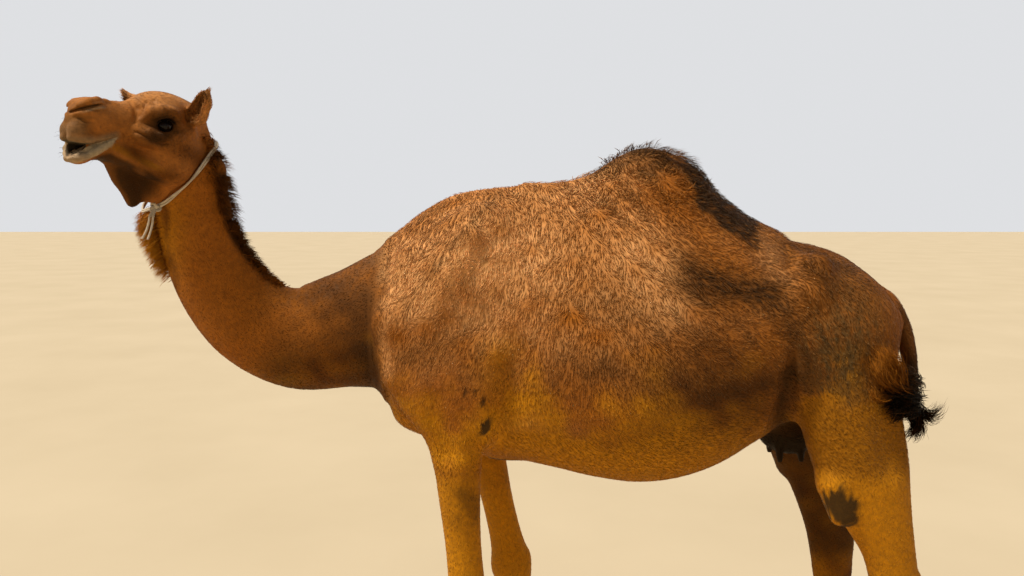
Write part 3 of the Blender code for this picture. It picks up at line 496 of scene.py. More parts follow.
FACE = [
    # lips: the lower one's rim, the upper one's lobes and edge
    ("ridge", [(0.384, 0.008, -0.1585), (0.360, 0.026, -0.1525), (0.334, 0.035, -0.136),
               (0.295, 0.042, -0.111)], (0.0068, 0.0076, 0.0075, 0.006), 0.007),
    ("ridge", [(0.388, 0.016, -0.106), (0.350, 0.035, -0.106), (0.300, 0.044, -0.094)],
     (0.008, 0.0075, 0.006), 0.012),
    ("fold", [(0.345, -0.119), (0.318, -0.111), (0.295, -0.100), (0.280, -0.092)],
     (0.0040, 0.0036, 0.0030, 0.0014), 0.003, 0.0005),
    # wrinkles at the corner of the mouth
    ("fold", [(0.272, -0.078), (0.262, -0.092), (0.262, -0.108)], (0.0016, 0.0026, 0.0014), 0.005),
    ("fold", [(0.256, -0.086), (0.249, -0.100), (0.251, -0.114)], (0.0012, 0.0020, 0.0012), 0.005),
    # the crease under the nose
    ("fold", [(0.378, -0.050), (0.362, -0.060), (0.345, -0.062)], (0.0038, 0.0034, 0.0015), 0.007, 0.001),
    # nostril: a long slit between two rims
    ("raised", [(0.363, -0.022), (0.348, -0.013), (0.322, -0.005), (0.295, -0.005), (0.270, -0.010)],
     (0.0075, 0.0080, 0.0070, 0.0045, 0.002), 0.010, 0.004),
    ("raised", [(0.374, -0.048), (0.352, -0.038), (0.328, -0.030), (0.305, -0.022)],
     (0.0060, 0.0072, 0.0068, 0.003), 0.006, 0.004),
    ("fold", [(0.382, -0.040), (0.371, -0.033), (0.356, -0.0265), (0.340, -0.0205), (0.316, -0.014)],
     (0.0050, 0.0052, 0.0048, 0.0038, 0.0015), 0.003, 0.002),
    ("fold", [(0.350, -0.030), (0.335, -0.032), (0.322, -0.030)], (0.0022, 0.0024, 0.0012), 0.003, 0.001),
    # cheek: the jaw's lower edge, the chewing muscle and the cheekbone
    ("ridge", [(0.290, 0.028, -0.128), (0.200, 0.052, -0.176), (0.130, 0.058, -0.198)],
     (0.009, 0.012, 0.012), 0.030),
    ("ball", (0.105, 0.060, -0.130), (0.055, 0.020, 0.062), 0.03),
    ("ridge", [(0.225, 0.048, -0.074), (0.190, 0.062, -0.088), (0.130, 0.073, -0.086),
               (0.080, 0.070, -0.066)], (0.009, 0.010, 0.011, 0.010), 0.02),
    # brow and the fold from the brow to the nose
    ("ridge", [(0.206, 0.052, -0.040), (0.192, 0.066, -0.021), (0.172, 0.077, -0.014),
               (0.143, 0.081, -0.018), (0.122, 0.077, -0.038), (0.113, 0.072, -0.058)],
     (0.0065, 0.0085, 0.0090, 0.0090, 0.0075, 0.006), 0.012),
    ("fold", [(0.226, 0.002), (0.222, -0.014), (0.226, -0.032), (0.236, -0.050)],
     (0.0030, 0.0045, 0.0045, 0.0025), 0.012, -0.001),
    ("fold", [(0.205, 0.016), (0.198, 0.002), (0.204, -0.010)], (0.0016, 0.0026, 0.0014), 0.008),
    ("fold", [(0.188, 0.024), (0.180, 0.010), (0.184, -0.002)], (0.0014, 0.0024, 0.0012), 0.008),
    # lower lid and the dark fold below the eye
    ("raised", [(0.206, -0.074), (0.184, -0.086), (0.160, -0.091), (0.138, -0.080)],
     (0.0050, 0.0065, 0.0065, 0.0045), 0.008, 0.003),
    ("ball", (0.170, 0.079, -0.097), (0.009, 0.006, 0.006), 0.006),
    ("fold", [(0.240, -0.078), (0.224, -0.087), (0.208, -0.096), (0.190, -0.104), (0.174, -0.108),
              (0.158, -0.103)], (0.0020, 0.0036, 0.0038, 0.0040, 0.0034, 0.0016), 0.005, 0.0005),
    # the lids' mound and the upper lid's fold
    ("ball", EYE_PLACE, (0.0268, 0.0268, 0.0268), 0.006),
    ("fold", [(0.190, -0.044), (0.178, -0.034), (0.160, -0.029), (0.140, -0.032), (0.128, -0.042)],
     (0.0014, 0.0026, 0.0028, 0.0026, 0.0014), 0.004),
]


def chain(tool, points, radii, blend, squash=1.0, flat=(0, 1, 0), place=None):
    """Adds or carves a row of round-ended cones."""
    for n in range(len(points) - 1):
        tool(Limb(points[n], points[n + 1], radii[n], radii[n + 1], flat, squash, place), blend)


def add_head(volume):
    """The head's forms, the eyes' openings and the ears."""
    at = head_place()

    def laid(line, left, depth):
        """Points (forward, up) laid on the side of the head, `depth` below its surface."""
        across = np.arange(0.115, 0.0, -0.0005)
        found = []
        for forward, up in line:
            local = np.stack([np.full(len(across), forward), across * left, np.full(len(across), up)], 1)
            inside = volume.at(at.origin + local @ at.axes.T) < 0
            found.append((forward, (across[np.argmax(inside)] - depth) * left, up))
        return found

    def form(left, kind, place, radii, blend, extra=None):
        tool = volume.add if kind in ("ball", "ridge", "raised") else volume.carve
        if kind in ("fold", "raised"):
            chain(tool, laid(place, left, extra or 0.0), radii, blend, place=at)
            return
        mirrored = np.array(place) * (1, left, 1)
        if kind == "ball":
            tool(Ball(mirrored, radii, place=at), blend)
        else:
            chain(tool, mirrored, radii, blend, extra or 1.0, place=at)

    for sides, rows in (((1,), SKULL), ((1, -1), CHEEKS), ((1,), MOUTH), ((1, -1), FACE)):
        for left in sides:
            for row in rows:
                form(left, *row)
    # the opening between the lids, and the eyeball's seat
    for left in (1, -1):
        eye = np.array(EYE_PLACE) * (1, left, 1)
        out = np.array((0.28, 0.955 * left, 0.05))
        volume.carve(Ball(eye + out * 0.026, (0.0275, 0.020, 0.0185), (0, 14, -17 * left), at), 0.003)
        volume.carve(Ball(eye, (0.0219,) * 3, place=at), 0.001)
    # the nape's ridge, under the mane and the collar
    for start, end in zip(MANE[:2], MANE[1:3]):
        volume.add(Limb(start, end, 0.020, 0.022, squash=0.8), 0.03)
    # ears, each hollow in front
    for ear in EARS.values():
        chain(volume.add, ear, EAR_RADII, 0.012, 0.52, (1, 0, 0), at)
        hollow = [np.array(p) + (0.0150, 0, 0) for p in ear]
        hollow[0] = hollow[0] * 0.5 + hollow[1] * 0.5
        chain(volume.carve, hollow, [r * 0.80 for r in EAR_RADII], 0.004, 0.60, (1, 0, 0), at)


def coat_depth(x, z):
    """How far the skin lies inside the tips of the coat."""
    woolly = step(x, -0.45, -0.25) * step(z, 1.15, 1.40) * step(x, 1.05, 0.85)
    hump = step(x, 0.02, 0.20) * step(x, 0.82, 0.68) * step(z, 1.64, 1.76)
    legs = step(z, 1.05, 0.95)
    head = step(x, -0.84, -0.88) * step(z, 1.70, 1.76)
    return 0.0035 + 0.0045 * woolly + 0.011 * hump - 0.0015 * legs - 0.002 * head


BULK = [  # on both sides: centre, radii, fillet, turn
    ((-0.160, 0.130, 1.46), (0.130, 0.085, 0.270), 0.08, (0, 22, 0)),  # shoulder blade
    ((-0.250, 0.145, 1.30), (0.110, 0.080, 0.130), 0.05, (0, 0, 0)),  # point of the shoulder
    ((-0.185, 0.170, 1.20), (0.140, 0.075, 0.120), 0.05, (0, -20, 0)),  # upper arm
    ((0.930, 0.110, 1.350), (0.150, 0.115, 0.165), 0.08, (0, 25, 0)),  # croup
]
MIDDLE = [  # centre, radii, fillet
    ((-0.29, 0, 1.19), (0.09, 0.14, 0.14), 0.06),  # breast
    ((-0.01, 0, 0.975), (0.095, 0.080, 0.034), 0.02),  # breast pad
    ((0.850, 0, 1.045), (0.105, 0.078, 0.090), 0.03),  # udder
]


def body(fine, ring=()):
    """The skin as one volume: the body without its coat and long hair, with the collar's ring pressed in."""
    volume = Volume(
        lines((-1.45, 0.012), (-1.262, fine), (-0.828, 0.011), (-0.52, 0.008), (0.02, 0.012), (0.78, 0.008),
              (1.32, 0)),
        lines((-0.45, 0.011), (-0.385, fine), (0.072, 0.010), (0.45, 0)),
        lines((-0.06, 0.0075), (0.12, 0.012), (0.80, 0.008), (1.25, 0.012), (1.686, fine), (2.12, 0)),
    )
    volume.add(Barrel(TRUNK, upper=1.75, lower=2.15))
    volume.add(Barrel(HUMP, upper=1.9), 0.09)
    volume.add(Tube(NECK), 0.08)
    for side in (LEFT, RIGHT):
        for (x, y, z), radii, blend, turn in BULK:
            volume.add(Ball((x, y * side, z), radii, turn), blend)
        for pair, blend in (("fore", 0.04), ("hind", 0.05)):
            volume.add(Tube(leg_rows(pair, side)), blend)
            length, wide = FOOT_SIZES[pair]
            x, y = foot_place(pair, side)
            volume.add(Ball((x, y, 0.022), (length / 2, wide / 2, 0.045)), 0.03)
        x, y = leg_rows("hind", side)[7][:2]
        volume.add(Ball((x + 0.046, y, 0.600), (0.026, 0.024, 0.062), (0, 8, 0)), 0.03)
    for centre, radii, blend in MIDDLE:
        volume.add(Ball(centre, radii), blend)
    add_relief(volume)
    # the coat's depth, taken off the whole
    x, _, z = np.meshgrid(*volume.axes, indexing="ij", sparse=True)
    volume.values += coat_depth(x, z).astype(np.float32)
    add_head(volume)
    for start, end in zip(ring[::10], np.roll(ring, -10, 0)[::10] if len(ring) else ()):
        volume.carve(Limb(start, end, 0.0095, 0.0095), 0.006)
    volume.add(Tube([(x, y, z, depth - 0.003, wide - 0.003) for x, y, z, depth, wide in TAIL]), 0.02)
    for x, y in TEATS:
        volume.add(Limb((x, y, 1.0), (x * 1.004, y * 1.1, 0.950), 0.013, 0.0085), 0.012)
    # two toes to each foot
    for side in (LEFT, RIGHT):
        for pair in ("fore", "hind"):
            length = FOOT_SIZES[pair][0]
            x, y = foot_place(pair, side)
            start, end = (x - length * 0.55, y, 0.075), (x - length * 0.22, y, 0.085)
            volume.carve(Limb(start, end, 0.014, 0.006), 0.012)
    volume.values = np.maximum(volume.values, -volume.axes[2][None, None, :])
    return volume


RELIEF = [  # muscles, hollows and folds on both sides: kind, points, radii, fillet
    # the shoulder's front border over the neck, and its spine
    ("add", [(-0.285, 0.130, 1.56), (-0.335, 0.165, 1.38), (-0.320, 0.170, 1.24)],
     (0.045, 0.055, 0.050), 0.035),
    ("add", [(-0.120, 0.190, 1.62), (-0.235, 0.190, 1.40)], (0.035, 0.045), 0.05),
    # behind the shoulder
    ("cut", [(0.020, 0.345, 1.48), (-0.010, 0.330, 1.30), (-0.040, 0.285, 1.14)],
     (0.045, 0.060, 0.050), 0.06),
    # the upper arm's muscle down to the elbow, and the elbow
    ("add", [(-0.060, 0.215, 1.30), (-0.085, 0.205, 1.12)], (0.050, 0.042), 0.05),
    ("add", [(-0.062, 0.188, 1.115), (-0.085, 0.190, 1.065)], (0.034, 0.030), 0.03),
    ("cut", [(-0.215, 0.285, 1.18), (-0.185, 0.262, 1.03)], (0.030, 0.026), 0.04),
    # breast fold between the forelegs and the neck
    ("add", [(-0.300, 0.045, 1.10), (-0.200, 0.100, 1.06)], (0.040, 0.035), 0.05),
    # the hollow between flank and thigh, open over the udder
    ("cut", [(0.768, 0.276, 1.335), (0.752, 0.262, 1.240), (0.757, 0.232, 1.145), (0.775, 0.185, 1.055)],
     (0.006, 0.024, 0.042, 0.050), 0.014),
    # hip and thigh
    ("add", [(0.860, 0.150, 1.545), (0.840, 0.185, 1.470)], (0.040, 0.045), 0.06),
    ("cut", [(1.010, 0.300, 1.26), (1.060, 0.285, 1.02)], (0.040, 0.035), 0.06),
    # stifle
    ("add", [(0.905, 0.215, 0.930), (0.925, 0.222, 0.850)], (0.046, 0.036), 0.035),
]


def add_relief(volume):
    """Muscles, hollows and folds that lie under the short coat."""
    for kind, points, radii, blend in RELIEF:
        for side in (LEFT, RIGHT):
            mirrored = [(x, y * side, z) for x, y, z in points]
            chain(volume.add if kind == "add" else volume.carve, mirrored, radii, blend)
    for side in (LEFT, RIGHT):
        # knees, and the tendons down the lower legs
        x, y = leg_rows("fore", side)[6][:2]
        volume.add(Ball((x - 0.018, y, 0.520), (0.050, 0.048, 0.060)), 0.02)
        volume.add(Ball((x + 0.042, y, 0.545), (0.018, 0.022, 0.030)), 0.02)
        for pair, top, low in (("fore", 7, 9), ("hind", 9, 11)):
            rows = leg_rows(pair, side)
            a, b = rows[top], rows[low]
            volume.add(Limb((a[0] + 0.030, a[1], a[2]), (b[0] + 0.026, b[1], b[2]), 0.015, 0.014), 0.012)
            for face in (-1, 1):
                start = (a[0] + 0.012, a[1] + face * 0.052, a[2])
                end = (b[0] + 0.010, b[1] + face * 0.050, b[2])
                volume.carve(Limb(start, end, 0.016, 0.014), 0.012)


# ---------------------------------------------------------------- where things are on the body

HEAD = head_place()


def unit(v):
    """The vectors at length 1."""
    v = np.asarray(v, float)
    return v / (np.linalg.norm(v, axis=-1, keepdims=True) + 1e-12)


def in_head(points):
    """The head's own coordinates: forward, left, up."""
    return (points - HEAD.origin) @ HEAD.axes


def in_body(q):
    """Directions in the head's own frame, in the body's."""
    return q @ HEAD.axes.T


def past_collar(points):
    """How far a point is on the head's side of the collar."""
    normal = np.cross(*collar_axes())
    normal = normal * np.sign(normal @ (HEAD.origin - np.array(COLLAR_CENTRE)) + 1e-9)
    return (points - np.array(COLLAR_CENTRE)) @ normal


def along_path(points, rows, samples=60):
    """(share along a path of rows, distance from it, its direction) for each point."""
    path = spline(np.arange(len(rows)), np.array(rows, float)[:, :3], np.linspace(0, len(rows) - 1, samples))
    best = np.full(len(points), np.inf)
    share = np.zeros(len(points))
    ways = unit(np.gradient(path, axis=0))
    for n, spot in enumerate(path):
        gap = ((points - spot) ** 2).sum(1)
        closer = gap < best
        best[closer] = gap[closer]
        share[closer] = n
    return share / (samples - 1), np.sqrt(best), ways[share.astype(int)]


class Waves:
    """Smooth noise with a slope, from plane waves about `size` long, drawn out by `stretch` along an axis."""

    def __init__(self, seed, size, stretch=(1, 1, 1), count=14):
        rng = np.random.default_rng(seed)
        self.waves = unit(rng.normal(size=(count, 3))) * (2 * np.pi / size)
        self.waves = self.waves * rng.uniform(0.6, 1.4, (count, 1)) / np.array(stretch)
        self.phase = rng.uniform(0, 2 * np.pi, count)

    def value(self, p):
        total = 0
        for wave, phase in zip(self.waves, self.phase):
            total = total + np.cos(p @ wave + phase)
        return total / math.sqrt(len(self.phase) / 2)

    def slope(self, p):
        total = 0
        for wave, phase in zip(self.waves, self.phase):
            total = total - np.sin(p @ wave + phase)[:, None] * wave
        return total / math.sqrt(len(self.phase) / 2)


BROAD = Waves(1, 0.30)
PATCHY = Waves(2, 0.09)
SPECKLE = Waves(3, 0.016, (1, 1, 2), 24)


def spot(p, centre, reach, angle=0.0):
    """A soft oval patch on both flanks: centre and reach in x and z, tilted by degrees."""
    a = math.radians(angle)
    x, z = p[:, 0] - centre[0], p[:, 2] - centre[1]
    u, v = x * math.cos(a) + z * math.sin(a), z * math.cos(a) - x * math.sin(a)
    return np.exp(-((u / reach[0]) ** 2) - (v / reach[1]) ** 2)


def bump3(q, centre, reach):
    """A soft ball-like patch, on both sides of the head."""
    gap = (np.stack([q[:, 0], np.abs(q[:, 1]), q[:, 2]], 1) - centre) / reach
    return np.exp(-(gap**2).sum(1))


def parts_of(p):
    """How much each point belongs to the head, neck, legs, hump and woolly upper trunk."""
    x, y, z = p.T
    head = step(past_collar(p), -0.006, 0.006) * step(x, -0.72, -0.80)
    neck = step(x, -0.33, -0.42) * (1 - head)
    fore = step(x, 0.10, 0.05) * step(x, -0.34, -0.28)
    legs = step(z, 1.02, 0.93) * step(np.abs(y), 0.07, 0.10) * np.maximum(fore, step(x, 0.84, 0.90))
    legs = np.maximum(legs, step(z, 0.88, 0.84))
    hump = step(x, 0.08, 0.20) * step(x, 0.80, 0.66) * step(z, 1.64, 1.75)
    wool = step(x, -0.42, -0.28) * step(x, 1.00, 0.80) * step(z, 1.14, 1.40) * (1 - head)
    return head, neck, legs, hump, wool


def stroke(p, line, width):
    """A soft stroke drawn on both flanks along (x, z) points."""
    rows = [(x, 0.0, z) for x, z in line]
    return np.exp(-((along_path(p * (1, 0, 1), rows)[1] / width) ** 2))


def near_pads(p):
    """The bare pads: elbows, stifles, breast."""
    side = np.abs(p[:, 1])
    pad = spot(p, (-0.071, 1.108), (0.0155, 0.036), -30) * step(side, 0.17, 0.19)
    stifle = spot(p, (0.918, 0.878), (0.046, 0.074), 30) * step(side, 0.190, 0.215)
    breast = spot(p, (-0.010, 0.950), (0.085, 0.022)) * step(side, 0.085, 0.070)
    rough = 0.07 * PATCHY.value(p * 2.3) + 0.05 * SPECKLE.value(p)
    return step(most(pad, stifle, breast) + rough, 0.38, 0.54)


# Marks on both flanks, as rows for `layers`: strength, place and size in x and z, and the tilt in degrees.
# A place that is a list of points is a stroke, and its size a width.
# Umber over the coat, mostly painted shade: darker where the flank's rear and low side, the belly, croup and
# low shoulder turn from the light.
UMBER_AND_SHADE_MARKS = [
    (0.95, (0.56, 1.24), (0.27, 0.150), -12),
    (0.85, (0.765, 1.32), (0.060, 0.20), 12),
    (0.80, (0.93, 1.54), (0.16, 0.10), -30),
    (0.45, (0.31, 1.440), (0.160, 0.085), -10),
    (0.50, (-0.110, 1.300), (0.045, 0.110)),
    (0.45, (0.46, 1.120), (0.260, 0.075)),
    (0.62, (0.22, 1.265), (0.190, 0.090), 5),
    (0.40, (-0.24, 1.320), (0.110, 0.070), 20),
]
# Painted shadows: below the hump, on the croup and on the flank's rear.
PAINTED_SHADOW_MARKS = [
    (0.80, (0.50, 1.495), (0.095, 0.048), -25),
    (0.30, (0.84, 1.57), (0.16, 0.07), -30),
    (0.50, (0.53, 1.245), (0.20, 0.11), -15),
]
# Painted highlights where the light falls: shoulder and its front edge, flank, hump and the belly's front.
PAINTED_HIGHLIGHT_MARKS = [
    (1.25, (-0.045, 1.555), (0.135, 0.115), 25),
    (0.80, (0.22, 1.765), (0.11, 0.05), 20),
    (0.10, (0.180, 1.450), (0.170, 0.090), 10),
    (0.55, (0.360, 1.570), (0.120, 0.080), -30),
    (1.00, (-0.285, 1.530), (0.100, 0.095), 60),
    (0.55, [(-0.340, 1.430), (-0.352, 1.340), (-0.342, 1.250)], 0.018),
    (0.45, (0.120, 1.055), (0.110, 0.055), -10),
    (0.60, (0.725, 1.560), (0.055, 0.085)),
    (0.35, (0.420, 1.460), (0.120, 0.060), -20),
]
SHOULDER_CREASE_SHADE = [  # painted shade in the creases round the shoulder
    (1.0, [(-0.042, 1.750), (-0.116, 1.660), (-0.199, 1.561), (-0.284, 1.443)], 0.0115),
    (1.0, [(-0.354, 1.521), (-0.371, 1.452), (-0.380, 1.368), (-0.376, 1.290)], 0.010),
    (0.7, [(-0.300, 1.300), (-0.235, 1.320), (-0.150, 1.345)], 0.016),
]
ELBOW_LINE = [(-0.025, 1.33), (-0.035, 1.25), (-0.010, 1.12), (0.10, 0.98)]
HUMP_FOOT = [(0.405, 1.615), (0.440, 1.570), (0.500, 1.525), (0.596, 1.492), (0.700, 1.472)]
FLANK_FOLD = [(0.770, 1.300), (0.757, 1.220), (0.765, 1.120), (0.782, 1.030)]
CREST_LINE = [(0.345, 1.876), (0.427, 1.860), (0.512, 1.817)]
MOLES = [((-0.095, 1.212), 0.010), ((-0.128, 1.205), 0.008), ((-0.080, 1.182), 0.013)]

# Lines for np.interp: along x on the trunk, and forward on the side of the head.
# the neck darker towards the body: partly its darker coat, partly painted shade
NECK_UMBER_AND_SHADE = ([-1.0, -0.86, -0.72, -0.56, -0.38], [0.05, 0.10, 0.26, 0.88, 0.92])
HUMP_TOP = ([0.42, 0.49, 0.55, 0.62, 0.70, 0.78], [1.900, 1.880, 1.843, 1.762, 1.680, 1.632])
CREST_DEPTH = ([0.46, 0.52, 0.58, 0.64, 0.69, 0.74], [-0.02, 0.13, 0.145, 0.120, 0.080, -0.02])
JAW = ([0.125, 0.181, 0.243, 0.300, 0.330], [-0.208, -0.187, -0.156, -0.130, -0.140])
MOUTH_ROOF = ([0.279, 0.337, 0.40], [-0.096, -0.1160, -0.112])
MOUTH_FLOOR = ([0.279, 0.337, 0.350, 0.390, 0.40], [-0.094, -0.1215, -0.1300, -0.1540, -0.158])
LOWER_LIP_TOP = ([0.279, 0.337, 0.390, 0.40], [-0.094, -0.1175, -0.1455, -0.149])
LOWER_LIP_FOOT = ([0.279, 0.309, 0.334, 0.377, 0.400], [-0.097, -0.128, -0.148, -0.169, -0.172])
NOSTRIL = ([0.316, 0.340, 0.356, 0.371, 0.382], [-0.014, -0.0205, -0.0265, -0.033, -0.040])
CHEEK_FOLD = ([0.158, 0.174, 0.190, 0.208, 0.224, 0.240], [-0.103, -0.108, -0.104, -0.096, -0.087, -0.078])


def layers(p, rows):
    """One soft layer for each row of a table of marks."""
    made = []
    for strength, place, size, *tilt in rows:
        drawn = stroke(p, place, size) if isinstance(place, list) else spot(p, place, size, *tilt)
        made.append(strength * drawn)
    return made


def most(*found):
    """The strongest layer at each point."""
    return np.maximum.reduce(found)


def soft_line(gap, width):
    """A soft line where the gap is 0."""
    return np.exp(-((gap / width) ** 2))


def face_marks(q, n, head, patchy):
    """The marks on the face, from the head's own coordinates: gold, umber, grey, dark, black, pale."""
    s, l, u = q[:, 0], np.abs(q[:, 1]), q[:, 2]
    facing = n @ HEAD.axes[:, 0]
    outward = (n @ HEAD.axes[:, 1]) * np.sign(q[:, 1])
    jaw, roof, floor, lip_top, lip_foot, nostril, fold = (
        np.interp(s, *line)
        for line in (JAW, MOUTH_ROOF, MOUTH_FLOOR, LOWER_LIP_TOP, LOWER_LIP_FOOT, NOSTRIL, CHEEK_FOLD)
    )
    # painted highlight along the jaw's lower edge
    painted_jaw_highlight = step(np.abs(u - jaw - 0.014), 0.016, 0.004) * step(s, 0.150, 0.200) * step(s, 0.330, 0.300)
    gold = 0.65 * head * painted_jaw_highlight
    umber = 1.0 * head * bump3(q, (0.13, 0.07, -0.150), (0.125, 0.08, 0.095)) * (0.85 + 0.3 * patchy)
    # the upper lip's edge and its front, and the nostril's rims
    edge = step(u, roof + 0.024, roof + 0.006) * step(u, roof - 0.006, roof - 0.002) * step(s, 0.268, 0.290)
    front = step(s, 0.335, 0.370) * step(u, -0.12, -0.09) * step(u, -0.040, -0.055)
    rims = bump3(q, (0.345, 0.034, -0.028), (0.040, 0.030, 0.010))
    grey = head * most(0.55 * rims, 0.66 * edge, 0.60 * front)
    # round the eye, the ears' roots, painted shade under the jaw, and the fold of the cheek
    around_eye = bump3(q, (0.166, 0.080, -0.048), (0.050, 0.040, 0.035))
    tears = bump3(q, (0.186, 0.072, -0.089), (0.046, 0.034, 0.022))
    ear_root = bump3(q, (0.090, 0.074, -0.040), (0.020, 0.022, 0.032))
    under_jaw_shade = step(u, jaw - 0.001, jaw - 0.014) * step(s + 0.4 * (u + 0.22), 0.125, 0.195)
    under_jaw_shade = under_jaw_shade * step(s, 0.345, 0.315) * (1 - 0.45 * step(facing, 0.35, 0.80))
    creased = soft_line(u - fold, 0.0034) * step(s, 0.152, 0.164) * step(s, 0.246, 0.232)
    dark = most(
        0.65 * head * ear_root,
        head * most(1.25 * around_eye, 1.25 * tears),
        head * 0.97 * under_jaw_shade,
        0.9 * head * creased * step(l, 0.03, 0.045),
    )
    # the lids' rims, the mouth's inside and the nostrils
    lids = 0.75 * (np.abs(np.linalg.norm(np.stack([s, l, u], 1) - EYE_PLACE, axis=1) - 0.0242) < 0.0034)
    lids = head * lids * bump3(q, (0.168, 0.085, -0.055), (0.032, 0.03, 0.018))
    gape = step(u, floor - 0.001, floor + 0.002) * step(u, roof + 0.006, roof + 0.002) * step(s, 0.322, 0.330)
    inner = step(l, 0.043, 0.038) * step(s, 0.396, 0.389)
    inner = inner * step(outward, 0.55, 0.25) * (1 - step(s, 0.366, 0.372) * step(facing, 0.45, 0.70))
    slit = soft_line(u - nostril, 0.0026) * step(s, 0.312, 0.328) * step(s, 0.388, 0.382)
    black = most(lids, head * gape * inner, 0.95 * head * slit * step(l, 0.0, 0.004))
    # the lower lip, and its part drawn up on the right
    lip = step(u, lip_foot - 0.003, lip_foot + 0.002) * step(u, lip_top + 0.001, lip_top - 0.002)
    lip = lip * step(s, 0.274, 0.288)
    drawn_up = step(q[:, 1], -0.006, -0.014) * step(s, 0.350, 0.358)
    drawn_up = drawn_up * step(u, -0.108, -0.116) * step(u, -0.165, -0.155)
    dry = 1 - np.clip(black, 0, 1)
    below = soft_line(u - nostril + 0.0085, 0.0030) * step(s, 0.300, 0.315) * step(s, 0.372, 0.355)
    above = soft_line(u - nostril - 0.0060, 0.0022) * step(s, 0.300, 0.312) * step(s, 0.350, 0.335)
    pale = most(
        0.9 * head * lip * (0.85 + 0.15 * patchy) * dry,
        0.85 * head * drawn_up * dry,
        head * (0.45 * below + 0.30 * above) * step(l, 0.010, 0.018),
        head * most(0.20 * step(s, 0.35, 0.39) * step(u, -0.06, -0.09), 0.30 * edge),
    )
    return gold, umber, grey, dark, black, pale


